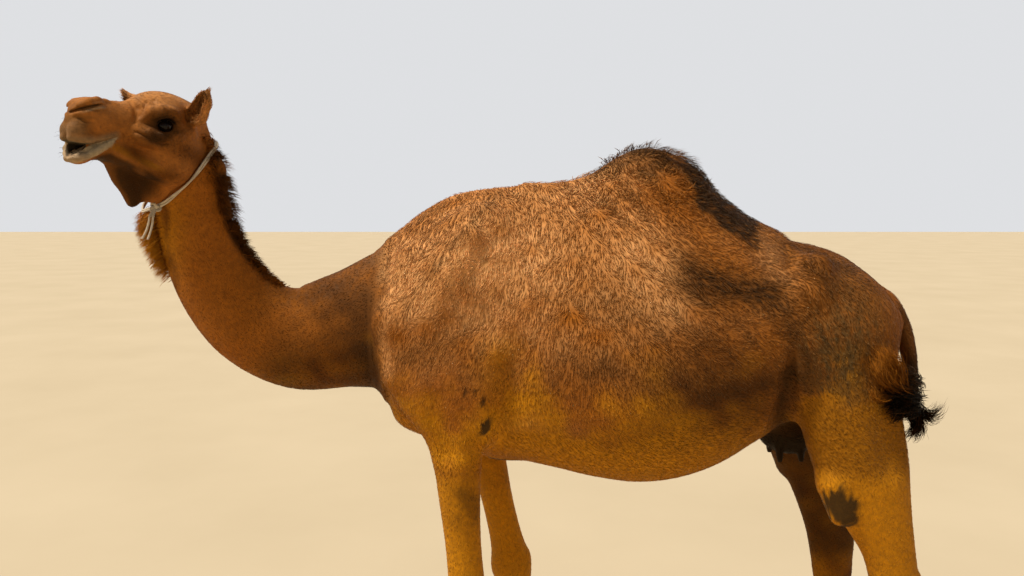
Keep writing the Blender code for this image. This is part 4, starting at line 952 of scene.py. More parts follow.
def marks(p, n):
    """The coat's markings, with painted shade and painted highlights, at points with normals n: shares of the
    COLOURS, in their order.
    """
    x, y, z = p.T
    side = np.abs(y)
    head, neck, legs, hump, wool = parts_of(p)
    q = in_head(p)
    broad, patchy, speckle = BROAD.value(p), PATCHY.value(p), SPECKLE.value(p)
    trunk = (1 - head) * (1 - legs)
    face = face_marks(q, n, head, patchy)

    tan = 0.75 * wool * step(x + 0.10 * broad, 0.62, 0.30) * (0.75 + 0.25 * patchy)
    tan = tan + head * 0.45 * step(q[:, 2], -0.02, 0.02) * step(q[:, 0], 0.30, 0.22) + 0.25 * head

    thigh = step(x, 0.78, 0.82) * step(side, 0.12, 0.17) * step(z + 0.012 * patchy, 1.200, 1.160)
    gold = most(
        # the belly gold where it faces sideways or down: partly the coat's paler belly, partly painted warm
        # bounce light from the ground
        step(z + 0.030 * patchy + 0.05 * broad, 1.28, 1.05) * step(n[:, 2], 0.5, 0.1) * trunk,
        0.95 * most(legs, thigh),
        0.55 * stroke(p, ELBOW_LINE, 0.058) * trunk * step(z, 1.42, 1.32),
        0.55 * neck * step(z - 0.30 * (x + 0.4), 1.42, 1.20),
        0.8 * spot(p, (-1.02, 1.60), (0.06, 0.16), -15) * neck,
        face[0],
    )

    from_beard = along_path(p, BEARD)[1]
    umber = most(
        # umber patches on the trunk, mostly painted shade
        most(*layers(p, UMBER_AND_SHADE_MARKS)) * trunk,
        np.interp(x, *NECK_UMBER_AND_SHADE) * neck,
        0.28 * legs * step(x, 0.3, 0.2) * step(z, 0.72, 0.86),
        # painted shade on the far hind leg and the far side under the flank
        0.75 * step(x, 0.78, 0.84) * step(y, 0.05, 0.10) * step(z, 1.10, 1.02),
        face[1],
        0.75 * step(np.abs(from_beard - 0.055), 0.035, 0.010) * neck * step(x, -1.03, -0.99),
        head * (0.22 + 0.10 * broad + 0.08 * patchy),
    )
    umber = umber * (0.85 + 0.2 * patchy)
    # painted shade on the thighs and the hind legs' upper parts
    umber = most(umber, 0.52 * step(z, 0.93, 0.99) * most(thigh, legs * step(x, 0.5, 0.6)))

    # painted highlight, only on surfaces that face sideways or up
    painted_highlight = sum(layers(p, PAINTED_HIGHLIGHT_MARKS))
    painted_highlight = painted_highlight * (0.85 + 0.25 * patchy) * trunk * step(n[:, 2], -0.5, -0.2)

    # the rump's grey patch: painted sheen and painted shade
    grey = spot(p, (0.900, 1.320), (0.135, 0.190), -15) * (0.86 + 0.25 * speckle) * step(side, 0.03, 0.10)
    udder = step(z, 1.19, 1.10) * step(side, 0.14, 0.11) * step(x, 0.725, 0.765) * step(x, 1.0, 0.96)
    grey = most(grey * (1 - thigh) + face[2], 0.9 * udder)

    # painted shadow along the foot of the hump, and the hump's dark crest and hind slope
    hump_foot_shadow = stroke(p, HUMP_FOOT, 0.044)
    depth = np.interp(x, *HUMP_TOP) - z + 0.012 * patchy
    reach = np.interp(x, *CREST_DEPTH)
    slope = step(depth, reach + 0.025, reach - 0.025) * step(x, 0.45, 0.52) * step(x, 0.76, 0.70)
    crest = step(x, 0.18, 0.27) * step(x, 0.56, 0.50) * step(side, 0.050, 0.022) * step(z, 1.74, 1.78)
    # painted shade in the hollow between flank and thigh
    fold = stroke(p, FLANK_FOLD, 0.032) * step(side, 0.27, 0.24)
    neck_shade = 1.2 * step(z - 0.25 * (x + 0.67), 1.36, 1.24) * step(x, -0.86, -0.76)
    neck_shade = most(step(x, -0.66, -0.50), neck_shade)
    along_nape, from_nape, _ = along_path(p, MANE)
    mane = step(from_nape, 0.037, 0.021) * step(along_nape, 1.0, 0.7) * (1 - head)
    scuff = step(spot(p, (-0.122, 0.886), (0.026, 0.058), 20) + 0.12 * speckle + 0.08 * patchy, 0.32, 0.5)
    along_tail, from_tail, _ = along_path(p, TAIL)
    on_tail = step(x, 1.10, 1.14) * step(from_tail, 0.08, 0.06)
    dark = most(
        0.95 * hump_foot_shadow * (0.9 + 0.18 * speckle) * step(side, 0.12, 0.18) * step(x, 0.40, 0.50),
        most(crest * 0.95, slope * 1.35) * (0.82 + 0.2 * speckle) * step(z, 1.55, 1.60),
        0.88 * fold * step(side, 0.10, 0.13),
        # painted shade in the shoulder's creases
        0.42 * most(*layers(p, SHOULDER_CREASE_SHADE)) * (0.8 + 0.3 * speckle) * trunk * step(side, 0.03, 0.06),
        0.62 * hump * step(z + 0.02 * patchy, 1.79, 1.87) * (0.9 + 0.25 * speckle),
        # painted shadow of the tail on the thigh
        0.42 * spot(p, (0.935, 1.195), (0.090, 0.055)) * (1 - thigh) * trunk,
        # painted shadows on the trunk
        most(*layers(p, PAINTED_SHADOW_MARKS)) * trunk,
        0.92 * stroke(p, CREST_LINE, 0.014),
        0.42 * neck * neck_shade * (1 - 0.35 * broad),
        0.80 * mane,
        0.42 * scuff * legs * step(side, 0.16, 0.18),
        0.35 * step(z, 0.50, 0.40) * legs * (0.8 + 0.2 * patchy),
        # painted shade on the far hind leg
        0.75 * step(x, 0.80, 0.88) * step(y, 0.05, 0.10) * step(z, 1.02, 0.92) * step(z, 0.5, 0.6),
        0.72 * on_tail * step(along_tail, 0.12, 0.30),
        0.90 * udder * step(z + 0.3 * (x - 0.85), 1.12, 1.04),
        face[3],
    )
    for place, size in MOLES:
        mole = spot(p, place, (size, size * 1.2)) + 0.1 * speckle
        dark = most(dark, 0.8 * step(mole, 0.4, 0.6) * (side > 0.18))

    black = most(0.9 * step(z, 1.060, 1.010) * udder + face[4], on_tail * step(along_tail, 0.50, 0.70) * 0.7)
    pad = most(near_pads(p), step(z, 0.055, 0.020) * legs)

    # the ears: tan, and dark inside
    ear = np.minimum(*(along_path(q, rows, 20)[1] for rows in EARS.values()))
    in_ear = head * step(np.abs(q[:, 1]), 0.085, 0.10) * step(ear, 0.05, 0.035)
    tan = np.where(in_ear > 0.5, 0.75, tan)
    facing = n @ HEAD.axes[:, 0]
    inside = in_ear * step(facing, 0.35, 0.75) * step(ear, 0.020, 0.010)
    dark = most(dark, 0.55 * inside)
    painted_highlight = painted_highlight * (1 - np.clip(dark * 1.3, 0, 1)) * 0.75
    return np.clip(np.stack([tan, gold, umber, grey, dark, black, face[5], pad, painted_highlight], 1), 0, 1)


def lie(p, n):
    """The way the hair lies at points with normals n."""
    x, y, z = p.T
    head, neck, legs, _, _ = parts_of(p)
    keys = [-0.45, -0.20, 0.00, 0.20, 0.40, 0.60, 0.75, 0.88, 1.00, 1.15]
    back = np.interp(x, keys, [-0.30, -0.50, -0.25, 0.05, 0.45, 0.90, 0.80, 0.40, 0.25, 0.15])
    down = -np.interp(x, keys, [1.00, 0.90, 1.00, 1.00, 0.80, 0.45, 0.60, 1.00, 1.00, 1.00])
    below = step(z, 1.25, 1.05)
    back, down = back + below * 0.6, down * (1 - 0.4 * below)
    way = np.stack([back, 0.35 * np.sign(y) * step(n[:, 2], 0.3, 0.8), down], 1)
    way = way + 0.5 * step(n[:, 2], 0.4, 0.9)[:, None] * np.array((1.0, 0, 0))
    _, _, line = along_path(p, NECK)
    way = way * (1 - neck[:, None]) + neck[:, None] * -line * 1.2
    way = way * (1 - legs[:, None]) + legs[:, None] * np.array((0.05, 0, -1.0))
    q = in_head(p)
    outward = 0.5 * np.sign(q[:, 1]) * step(q[:, 2], 0.0, 0.04)
    over = np.stack([-np.ones(len(p)), outward, -0.45 * step(q[:, 2], 0.03, -0.08)], 1)
    for ear in EARS.values():
        mine = step(np.abs(q[:, 1]), 0.078, 0.090) * (np.sign(q[:, 1]) == np.sign(ear[0][1]))
        axis = unit(np.array(ear[-1]) - ear[0])
        over = over * (1 - mine[:, None]) + mine[:, None] * axis
    way = way * (1 - head[:, None]) + head[:, None] * in_body(over)
    _, gap, line = along_path(p, TAIL)
    tail = (step(x, 1.10, 1.13) * step(gap, 0.07, 0.05))[:, None]
    return way * (1 - tail) + tail * line


# ---------------------------------------------------------------- meshes


def object_of(name, points, faces, sets=None, shade=None, uv=None):
    """An object riding on the body, from arrays of points and triangles."""
    a, b, c = (points[faces[:, n]] for n in range(3))
    if (np.cross(a, b) * c).sum() < 0:
        faces = faces[:, ::-1]
    mesh = bpy.data.meshes.new(name)
    mesh.vertices.add(len(points))
    mesh.vertices.foreach_set("co", np.ascontiguousarray(points, np.float32).ravel())
    mesh.loops.add(faces.size)
    mesh.loops.foreach_set("vertex_index", np.ascontiguousarray(faces, np.int32).ravel())
    mesh.polygons.add(len(faces))
    mesh.polygons.foreach_set("loop_start", np.arange(0, faces.size, 3, dtype=np.int32))
    mesh.update(calc_edges=True)
    if uv is None:
        mesh.polygons.foreach_set("use_smooth", np.ones(len(faces), bool))
    else:
        layer = mesh.uv_layers.new(name="OFBake")
        layer.data.foreach_set("uv", np.ascontiguousarray(uv[faces.ravel()], np.float32).ravel())
    give(mesh, sets, shade)
    return on_body(name, mesh)


def give(mesh, sets, shade):
    """Stores marks and shade on a mesh's points."""
    values = {}
    if sets is not None:
        values = {"marks_" + word: sets[:, 3 * n : 3 * n + 3] for n, word in enumerate("abc")}
    if shade is not None:
        values["shade"] = shade
    for name, vectors in values.items():
        layer = mesh.attributes.new(name, "FLOAT_VECTOR", "POINT")
        layer.data.foreach_set("vector", np.ascontiguousarray(vectors, np.float32).ravel())


def linked(name, data):
    """A new object in the scene."""
    obj = bpy.data.objects.new(name, data)
    bpy.context.scene.collection.objects.link(obj)
    return obj


def on_body(name, data):
    """A new object made in the body's own frame, riding on the body."""
    obj = linked(name, data)
    obj.location = OFFSET
    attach(obj, "root")
    return obj


def arrays_of(mesh):
    """A mesh's points, their normals and its triangles."""
    points = np.empty(len(mesh.vertices) * 3, np.float32)
    mesh.vertices.foreach_get("co", points)
    normals = np.empty(len(mesh.vertices) * 3, np.float32)
    mesh.vertex_normals.foreach_get("vector", normals)
    mesh.calc_loop_triangles()
    faces = np.empty(len(mesh.loop_triangles) * 3, np.int32)
    mesh.loop_triangles.foreach_get("vertices", faces)
    return points.reshape(-1, 3).astype(float), normals.reshape(-1, 3).astype(float), faces.reshape(-1, 3)


class Skin:
    """The skin's triangles, to plant hair on."""

    def __init__(self, mesh, volume):
        self.points, self.normals, self.faces = arrays_of(mesh)
        corners = self.points[self.faces]
        cross = np.cross(corners[:, 1] - corners[:, 0], corners[:, 2] - corners[:, 0])
        self.areas = np.linalg.norm(cross, axis=1) / 2
        self.centres = corners.mean(1)
        self.volume = volume

    def scatter(self, density, rng):
        """Points and normals spread over the skin, `density` of them to a square metre at each face."""
        weight = self.areas * density
        ends = np.cumsum(weight)
        count = int(ends[-1])
        picks = (np.arange(count) + rng.random(count)) * ends[-1] / max(count, 1)
        face = np.minimum(np.searchsorted(ends, picks), len(ends) - 1)
        a, b = rng.random((2, count))
        flip = a + b > 1
        a[flip], b[flip] = 1 - a[flip], 1 - b[flip]
        share = np.stack([1 - a - b, a, b], 1)[:, :, None]
        corner = self.faces[face]
        return (self.points[corner] * share).sum(1), unit((self.normals[corner] * share).sum(1))

    def seated(self, points, rounds=4):
        """Points moved onto the skin, and their normals."""
        points = np.array(points, float)
        eps = 0.004
        for _ in range(rounds):
            rises = [self.volume.at(points + e) - self.volume.at(points - e) for e in np.eye(3) * eps]
            slope = np.stack(rises, 1) / (2 * eps)
            size = np.maximum((slope**2).sum(1), 0.25)
            points = points - slope * (self.volume.at(points) / size)[:, None]
        return points, unit(slope)


def locks(name, path, across, widths, sets, shade, uv, flat=0.15):
    """Closed, tapering locks of hair. path: (count, rows, 3) from root to tip; widths: (count, rows - 2)."""
    count, rows = path.shape[:2]
    tangent = unit(path[:, 2:] - path[:, :-2])
    side = across[:, None, :] - tangent * (across[:, None, :] * tangent).sum(2, keepdims=True)
    side = unit(side)
    up = np.cross(side, tangent)
    half = widths[:, :, None] / 2
    middle = path[:, 1:-1]
    rings = np.stack([middle + side * half, middle + up * half * 2 * flat, middle - side * half], 2)
    rings = rings.reshape(count, -1, 3)
    points = np.concatenate([path[:, :1], rings, path[:, -1:]], 1)
    per = points.shape[1]
    faces = [(0, 1 + (j + 1) % 3, 1 + j) for j in range(3)]
    for ring in range(rows - 3):
        low, high = 1 + 3 * ring, 4 + 3 * ring
        for j in range(3):
            k = (j + 1) % 3
            faces += [(low + j, low + k, high + k), (low + j, high + k, high + j)]
    top = per - 4
    faces += [(top + j, top + (j + 1) % 3, per - 1) for j in range(3)]
    faces = np.array(faces)
    corners = points[0][faces]
    if (np.cross(corners[:, 0], corners[:, 1]) * corners[:, 2]).sum() < 0:
        faces = faces[:, ::-1]
    all_faces = (faces[None] + np.arange(count)[:, None, None] * per).reshape(-1, 3)
    rise = np.concatenate([[0], np.repeat(np.arange(1, rows - 1) / (rows - 1), 3), [1]])
    over = np.concatenate([[0.5], np.tile([0, 0.5, 1.0], rows - 2), [0.5]])
    patch = np.stack([over, rise], 1) * 0.003
    spread = (uv[:, None, :] + patch[None]).reshape(-1, 2)
    tone = np.empty((count, per, 3))
    tone[:, :, 0] = shade[:, None]
    tone[:, :, 1] = rise[None]
    tone[:, :, 2] = 1
    sets, tone = np.repeat(sets, per, 0), tone.reshape(-1, 3)
    return object_of(name, points.reshape(-1, 3), all_faces, sets, tone, spread)


def chart(p, part):
    """Each root's place on an unwrap of its part of the skin, laid open along the part and round it."""
    x, y, z = p.T
    if part == "head":
        q = in_head(p)
        u, v = (q[:, 0] + 0.12) / 0.56, np.arctan2(q[:, 1], -(q[:, 2] + 0.07)) / (2 * np.pi) + 0.5
    elif part == "neck":
        share, _, line = along_path(p, NECK)
        middle = spline(np.arange(len(NECK)), np.array(NECK)[:, :3], share * (len(NECK) - 1))
        back = np.cross((0, 1, 0), line)
        gap = p - middle
        u, v = share, np.arctan2(gap[:, 1], (gap * back).sum(1)) / (2 * np.pi) + 0.5
    elif part == "legs":
        right, hind = y > 0, x > 0.4
        axis_x = np.where(hind, 1.05, -0.13)
        turn = np.arctan2(y - np.where(right, 0.18, -0.18), x - axis_x) / (2 * np.pi) + 0.5
        u, v = np.clip(z / 1.1, 0, 1), (turn + right) / 2
    elif part == "tail":
        share, _, _ = along_path(p, TAIL)
        u, v = share, np.arctan2(y, z - 1.2) / (2 * np.pi) + 0.5
    elif part == "hump":
        u, v = x / 0.9, np.arctan2(y, z - 1.5) / 2.2 + 0.5
    else:
        u, v = (x + 0.5) / 1.75, np.arctan2(np.abs(y), z - 1.30) / np.pi
    return np.clip(np.stack([u, v], 1), 0, 1) * 0.98 + 0.01


HAIRS = {"trunk": 38000, "neck": 35000, "legs": 29500, "head": 62000}  # to a square metre
LENGTHS = (0.0100, 0.0090, 0.0160, 0.006)  # of hairs on neck, legs, trunk, head
WIDTHS = (0.0015, 0.0015, 0.0014, 0.00125)
ROOT_DEPTH = 0.0012
CLUMP_SIZE = 0.024


def coat_density(centres):
    """Hairs to a square metre: fewer on muzzle and udder, none on pads, soles, eyes and in the mouth."""
    head, neck, legs, hump, wool = parts_of(centres)
    q = in_head(centres)
    x, side, z = centres[:, 0], np.abs(centres[:, 1]), centres[:, 2]
    density = HAIRS["trunk"] * (1 - head) * (1 - legs) * (1 - neck)
    density = density + HAIRS["neck"] * neck + HAIRS["legs"] * legs
    density = density - 3000 * wool * (1 - neck) + 4000 * hump
    density = density * (1 - head) + HAIRS["head"] * head
    muzzle = head * step(q[:, 0], 0.30, 0.36)
    density = density * (1 - 0.45 * muzzle)
    density = density * (1 - near_pads(centres)) * step(z, 0.03, 0.05)
    udder = step(z, 1.06, 1.00) * step(side, 0.11, 0.09) * step(x, 0.76, 0.80)
    density = density * (1 - 0.85 * udder * step(x, 1.0, 0.95))
    eye = np.linalg.norm(np.stack([q[:, 0], np.abs(q[:, 1]), q[:, 2]], 1) - EYE_PLACE, axis=1)
    density = density * step(eye, 0.024, 0.028)
    gape = (q[:, 0] > 0.333) & (np.abs(q[:, 2] + 0.129) < 0.4 * (q[:, 0] - 0.333))
    return density * ~(gape & (np.abs(q[:, 1]) < 0.040))


def coat_pieces(p, head, neck, legs, hump):
    """Which roots each piece of the coat holds: {name: (chart, mask)}."""
    x = p[:, 0]
    own = {
        "coat_head": ("head", head > 0.5),
        "coat_neck": ("neck", (neck > 0.5) & (head <= 0.5)),
        "coat_hump": ("hump", hump > 0.5),
        "coat_legs_front": ("legs", (legs > 0.5) & (x < 0.4)),
        "coat_legs_hind": ("legs", (legs > 0.5) & (x >= 0.4)),
    }
    free = ~np.any([mask for _, mask in own.values()], axis=0)
    front, rear = x < 0.16, x > 0.60
    for word, here in (("left", p[:, 1] < 0), ("right", p[:, 1] >= 0)):
        own["coat_shoulder_" + word] = ("trunk", here & front & free)
        own["coat_flank_" + word] = ("trunk", here & ~front & ~rear & free)
        own["coat_rump_" + word] = ("trunk", here & rear & free)
    return own


def short_coat(skin, rng, scale=1.0):
    """The short coat, over the whole body, in pieces."""
    p, n = skin.scatter(coat_density(skin.centres) * scale, rng)
    head, neck, legs, hump, wool = parts_of(p)
    q = in_head(p)
    count = len(p)
    trunk = (1 - head) * (1 - neck) * (1 - legs)

    def shared(on_neck, on_legs, on_trunk, on_head=0.0):
        return on_neck * neck + on_legs * legs + on_trunk * trunk + on_head * head

    # the way each hair lies
    way = lie(p, n)
    way = way + PATCHY.slope(p) * 0.0055 * (0.30 + 0.60 * wool + 1.0 * hump)[:, None]
    way = way + rng.normal(size=(count, 3)) * (0.08 + 0.04 * wool + 0.22 * hump)[:, None]
    way = unit(way - n * (way * n).sum(1, keepdims=True))
    # its length and width
    length = shared(*LENGTHS)
    length = (length + 0.0080 * wool * trunk + 0.004 * hump) * rng.uniform(0.7, 1.25, count)
    ears = head * step(np.abs(q[:, 1]), 0.08, 0.10)
    length = length * (1 - 0.4 * step(q[:, 0], 0.2, 0.34) * head) + 0.008 * ears
    width = shared(*WIDTHS) + 0.0003 * wool * trunk + 0.0003 * hump
    width = width * rng.uniform(0.75, 1.3, count)
    # clumps, drawn out along the hair
    upright = np.abs(way[:, 2]) > 0.7
    tall, long = Waves(5, CLUMP_SIZE, (1, 1, 2.6)), Waves(6, CLUMP_SIZE, (2.6, 1, 1))
    clump = np.where(upright, tall.value(p), long.value(p))
    pull = np.where(upright[:, None], tall.slope(p), long.slope(p)) * CLUMP_SIZE / (2 * np.pi)
    pull = pull - n * (pull * n).sum(1, keepdims=True)
    matted = (shared(0.15, 0.10, 0.35) + 0.65 * wool * trunk + 0.3 * hump) * 0.0040
    # how far it stands off, least of all under the collar
    ridge = step(p[:, 2], 1.80, 1.86) * hump * step(np.abs(p[:, 1]), 0.09, 0.05)
    lift = 0.045 - 0.020 * neck + 0.02 * trunk + 0.035 * wool * trunk * (1 + 0.6 * clump)
    lift = lift + (0.13 * hump + 0.30 * ridge) * (1 + 0.3 * clump)
    lift = np.maximum(lift + rng.normal(size=count) * 0.03 * (1 - 0.5 * neck), 0.025)
    collar = step(np.abs(past_collar(p)), 0.016, 0.008) * step(p[:, 0], -0.7, -0.8)
    collar = collar * (1 - step(p[:, 2], 2.05, 2.1))
    lift = lift * (1 - 0.8 * collar)
    length = length * (1 - 0.3 * collar)
    mid = p + way * (length * 0.45)[:, None] + n * (length * lift * 0.85 + width * 0.1)[:, None]
    mid = mid + pull * (matted * 0.4)[:, None]
    tip = p + way * length[:, None] + n * (length * lift * (0.9 + 0.3 * hump))[:, None]
    tip = tip + pull * matted[:, None]
    path = np.stack([p - n * ROOT_DEPTH, mid, tip], 1)
    across = np.cross(n, way) + n * rng.normal(size=(count, 1)) * 0.25
    sets = marks(p, n)
    # a random tone for each hair, with the clumps' ridges lighter and their valleys darker: painted shade
    # between clumps
    shade = np.clip(0.5 + 0.11 * rng.normal(size=count) + (0.04 + 0.11 * wool * trunk) * clump, 0, 1)
    made = []
    for name, (part, mask) in coat_pieces(p, head, neck, legs, hump).items():
        uv, widths = chart(p[mask], part), width[mask][:, None]
        made.append(locks(name, path[mask], across[mask], widths, sets[mask], shade[mask], uv))
    return made


def curved(roots, ways, falls, lengths, rows):
    """Paths of hair that leave along `ways` and bend to `falls`."""
    path = [roots]
    for n in range(rows - 1):
        share = n / (rows - 1)
        heading = unit(ways * (1 - share) + falls * share)
        path.append(path[-1] + heading * (lengths / (rows - 1))[:, None])
    return np.stack(path, 1)


def taper(rows, fullest=0.3):
    """Widths of a lock's rows between root and tip."""
    t = np.arange(1, rows - 1) / (rows - 1)
    return np.where(t < fullest, 0.7 + 0.3 * t / fullest, 1 - 0.65 * (t - fullest) / (1 - fullest))


BLACK_HAIR = (0, 0, 0, 0, 0, 1, 0, 0, 0)  # shares of the COLOURS


def long_hair(skin, rng, scale=1.0):
    """Mane, beard, ear hair, lashes, whiskers and the tail's tuft."""
    made = []

    def ruffled(size, amount):
        """Random directions, to put hairs out of line."""
        return rng.normal(size=(size, 3)) * amount

    def grow(name, roots, normals, ways, falls, lengths, width, rows, part, own=None):
        path = curved(roots - normals * 0.003, ways, falls, lengths, rows)
        widths = (width * rng.uniform(0.7, 1.3, len(roots)))[:, None] * taper(rows)[None]
        across = np.cross(ways, rng.normal(size=roots.shape))
        sets = marks(roots, normals) if own is None else np.tile(np.array(own, float), (len(roots), 1))
        shade = np.clip(0.5 + 0.18 * rng.normal(size=len(roots)), 0, 1)
        made.append(locks(name, path, unit(across), widths, sets, shade, chart(roots, part)))

    # mane
    count = int(5200 * scale)
    t = rng.random(count) * (len(MANE) - 1)
    start = spline(np.arange(len(MANE)), np.array(MANE), t)
    roots, normals = skin.seated(start + ruffled(count, (0.004, 0.0075, 0.004)))
    _, _, line = along_path(roots, NECK)
    length = np.interp(t, [0.0, 0.3, 0.9, 1.5, 2, 3, 4], [0.020, 0.024, 0.036, 0.044, 0.044, 0.036, 0.018])
    length = length * rng.uniform(0.45, 1.15, count)
    lean = Waves(7, 0.030).slope(roots) * 0.0022
    ways = unit(normals * 1.0 - line * 0.25 + ruffled(count, 0.22) + lean)
    falls = unit(normals * 0.45 - line * 0.9 + ruffled(count, 0.25) + lean)
    grow("mane", roots, normals, ways, falls, length, 0.0018, 4, "neck")
    # beard
    count = int(3400 * scale)
    t = rng.random(count) ** 0.8 * (len(BEARD) - 1)
    start = spline(np.arange(len(BEARD)), np.array(BEARD), t) + ruffled(count, (0.016, 0.022, 0.012))
    roots, normals = skin.seated(start)
    keep = (normals[:, 0] < 0.35) & (past_collar(roots) < -0.010)
    roots, normals, t = roots[keep], normals[keep], t[keep]
    count = len(roots)
    length = np.interp(t, [0, 1, 2], [0.058, 0.062, 0.044]) * rng.uniform(0.42, 1.18, count)
    ways = unit(normals * 1.0 + np.array((-0.2, 0, -0.30)) + ruffled(count, 0.16))
    falls = unit(np.array((-0.50, 0, -1.0)) + normals * 0.40 + ruffled(count, 0.16))
    grow("beard", roots, normals, ways, falls, length, 0.0019, 4, "neck")
    # ear hair: out of the hollow and along the rim
    starts, ways = [], []
    for ear in EARS.values():
        many = int(900 * scale)
        t = 0.15 + rng.random(many) ** 0.9 * 2.55
        middle = spline(np.arange(4), np.array(ear), t)
        wide = np.interp(t, [0, 1, 2, 3], EAR_RADII)
        axis = unit(np.array(ear[-1]) - ear[0])
        edge = np.cross((1, 0, 0), axis)
        across = rng.uniform(-1.0, 1.0, many)
        starts.append(middle + edge * (across * wide * 0.95)[:, None] + np.array((0.010, 0, 0)))
        fan = edge * (across * -0.35)[:, None]
        ways.append(unit(axis * 1.0 + fan + np.array((0.35, 0, 0)) + ruffled(many, 0.15)))
    start = in_body(np.concatenate(starts)) + HEAD.origin
    roots, normals = skin.seated(start, 6)
    keep = np.linalg.norm(roots - start, axis=1) < 0.03
    roots, normals, ways = roots[keep], normals[keep], in_body(np.concatenate(ways))[keep]
    length = rng.uniform(0.010, 0.022, len(roots))
    ways = unit(ways + normals * 0.35)
    grow("ear_hair", roots, normals, ways, ways, length, 0.0011, 4, "head")
    # lashes, in two rows over each eye
    many = 90
    arc = np.linspace(-1, 1, many)
    starts, ways, falls, lengths = [], [], [], []
    for left in (1, -1):
        out = unit((0.30, 0.95 * left, 0.04))
        along = unit(np.cross((0, 0, 1), out)) * left * -1
        eye = np.array(EYE_PLACE) * (1, left, 1)
        for rise, upward in ((0.0128, 0.10), (0.0145, 0.35)):
            spread = arc + rng.normal(size=many) * 0.02
            arch = rise * np.sqrt(np.clip(1.15 - spread**2, 0.05, 1))
            place = eye + along * (spread * 0.0205)[:, None] + np.array((0, 0, 1)) * arch[:, None]
            starts.append(eye + unit(place - eye + out * 0.017) * 0.0245)
            sideways = along * (spread * 0.45)[:, None]
            ways.append(unit(out * 1.0 + sideways + np.array((0, 0, upward))))
            falls.append(unit(out * 0.45 + sideways + np.array((0.10, 0, -0.75))))
            lengths.append(rng.uniform(0.013, 0.021, many))
    roots, ways, falls = (in_body(np.concatenate(v)) for v in (starts, ways, falls))
    lengths = np.concatenate(lengths)
    grow("lashes", roots + HEAD.origin, ways * 0, ways, falls, lengths, 0.0010, 5, "head", own=BLACK_HAIR)
    # whiskers
    count = 110
    forward = rng.uniform(0.30, 0.39, count)
    across = rng.choice([-1, 1], count) * rng.uniform(0.01, 0.05, count)
    start = np.stack([forward, across, rng.uniform(-0.15, -0.05, count)], 1)
    roots, normals = skin.seated(in_body(start) + HEAD.origin, 6)
    ways = unit(normals + HEAD.axes[:, 0] * 0.3 + ruffled(count, 0.2))
    falls = unit(ways + np.array((0, 0, -0.8)))
    lengths = rng.uniform(0.010, 0.026, count)
    grow("whiskers", roots, normals, ways, falls, lengths, 0.0006, 4, "head", own=BLACK_HAIR)
    return made + tail_tuft(rng, scale)


TAIL_LOCKS = [
    # count, start, spread, middle, end of the curl, width, black
    (900, (1.150, -0.150, 1.165), 0.020, (1.095, -0.225, 1.195), (1.020, -0.262, 1.205), 0.0024, 1.0),
    (700, (1.140, -0.160, 1.150), 0.018, (1.090, -0.240, 1.160), (1.035, -0.265, 1.150), 0.0024, 1.0),
    (500, (1.165, -0.130, 1.200), 0.016, (1.110, -0.215, 1.235), (1.045, -0.255, 1.255), 0.0022, 0.9),
    (500, (1.090, -0.225, 1.205), 0.017, (1.010, -0.270, 1.225), (0.985, -0.270, 1.300), 0.0022, 0.25),
    (350, (1.060, -0.240, 1.220), 0.016, (1.045, -0.268, 1.275), (1.000, -0.268, 1.320), 0.0020, 0.10),
    (110, (1.030, -0.262, 1.190), 0.006, (0.980, -0.276, 1.180), (0.975, -0.272, 1.216), 0.0018, 0.15),
    (170, (1.140, -0.170, 1.150), 0.011, (1.178, -0.190, 1.095), (1.208, -0.185, 1.152), 0.0018, 1.0),
    (240, (1.130, -0.180, 1.140), 0.012, (1.160, -0.200, 1.085), (1.108, -0.210, 1.068), 0.0020, 1.0),
]


def tail_tuft(rng, scale):
    """The curled tuft: black locks round the tail's end, and a fox-brown curl in front."""
    made = []
    rows = 7
    t = np.linspace(0, 1, rows)[None, :, None]
    for number, (count, start, spread, middle, finish, width, black) in enumerate(TAIL_LOCKS):
        count = int(count * scale)
        jitter = rng.normal(size=(3, count, 1, 3)) * spread
        a = np.array(start) + jitter[0] * 0.7
        b = np.array(middle) + jitter[0] * 0.5 + jitter[1] * 0.8
        c = np.array(finish) + jitter[1] * 0.45 + jitter[2] * 0.75
        c = b + (c - b) * rng.uniform(0.35, 1.15, (count, 1, 1))
        path = a * (1 - t) ** 2 + 2 * b * t * (1 - t) + c * t * t
        curl = rng.uniform(0.002, 0.007, (count, 1, 1)) * t
        phase = rng.uniform(0, 6.28, (count, 1, 1))
        turns = t * rng.uniform(4, 8, (count, 1, 1)) + phase
        path = path + curl * np.concatenate([np.cos(turns), np.sin(turns) * 0.6, np.sin(turns)], 2)
        widths = (width * rng.uniform(0.6, 1.3, count))[:, None] * taper(rows)[None]
        across = unit(rng.normal(size=(count, 3)))
        sets = np.tile(np.array((0, 0.15, 0.38, 0, 0.35 * black, 0, 0, 0, 0), float), (count, 1))
        sets[:, 5] = np.clip(black + rng.normal(size=count) * 0.15, 0, 1)
        shade = np.clip(0.5 + 0.2 * rng.normal(size=count), 0, 1)
        uv = np.stack([(a[:, 0, 0] - 0.95) / 0.3, (a[:, 0, 2] - 1.0) / 0.4], 1)
        uv = np.clip(uv, 0, 1) * 0.98 + 0.01
        made.append(locks(f"tail_tuft_{number}", path, across, widths, sets, shade, uv))
    return made


# ---------------------------------------------------------------- finishes

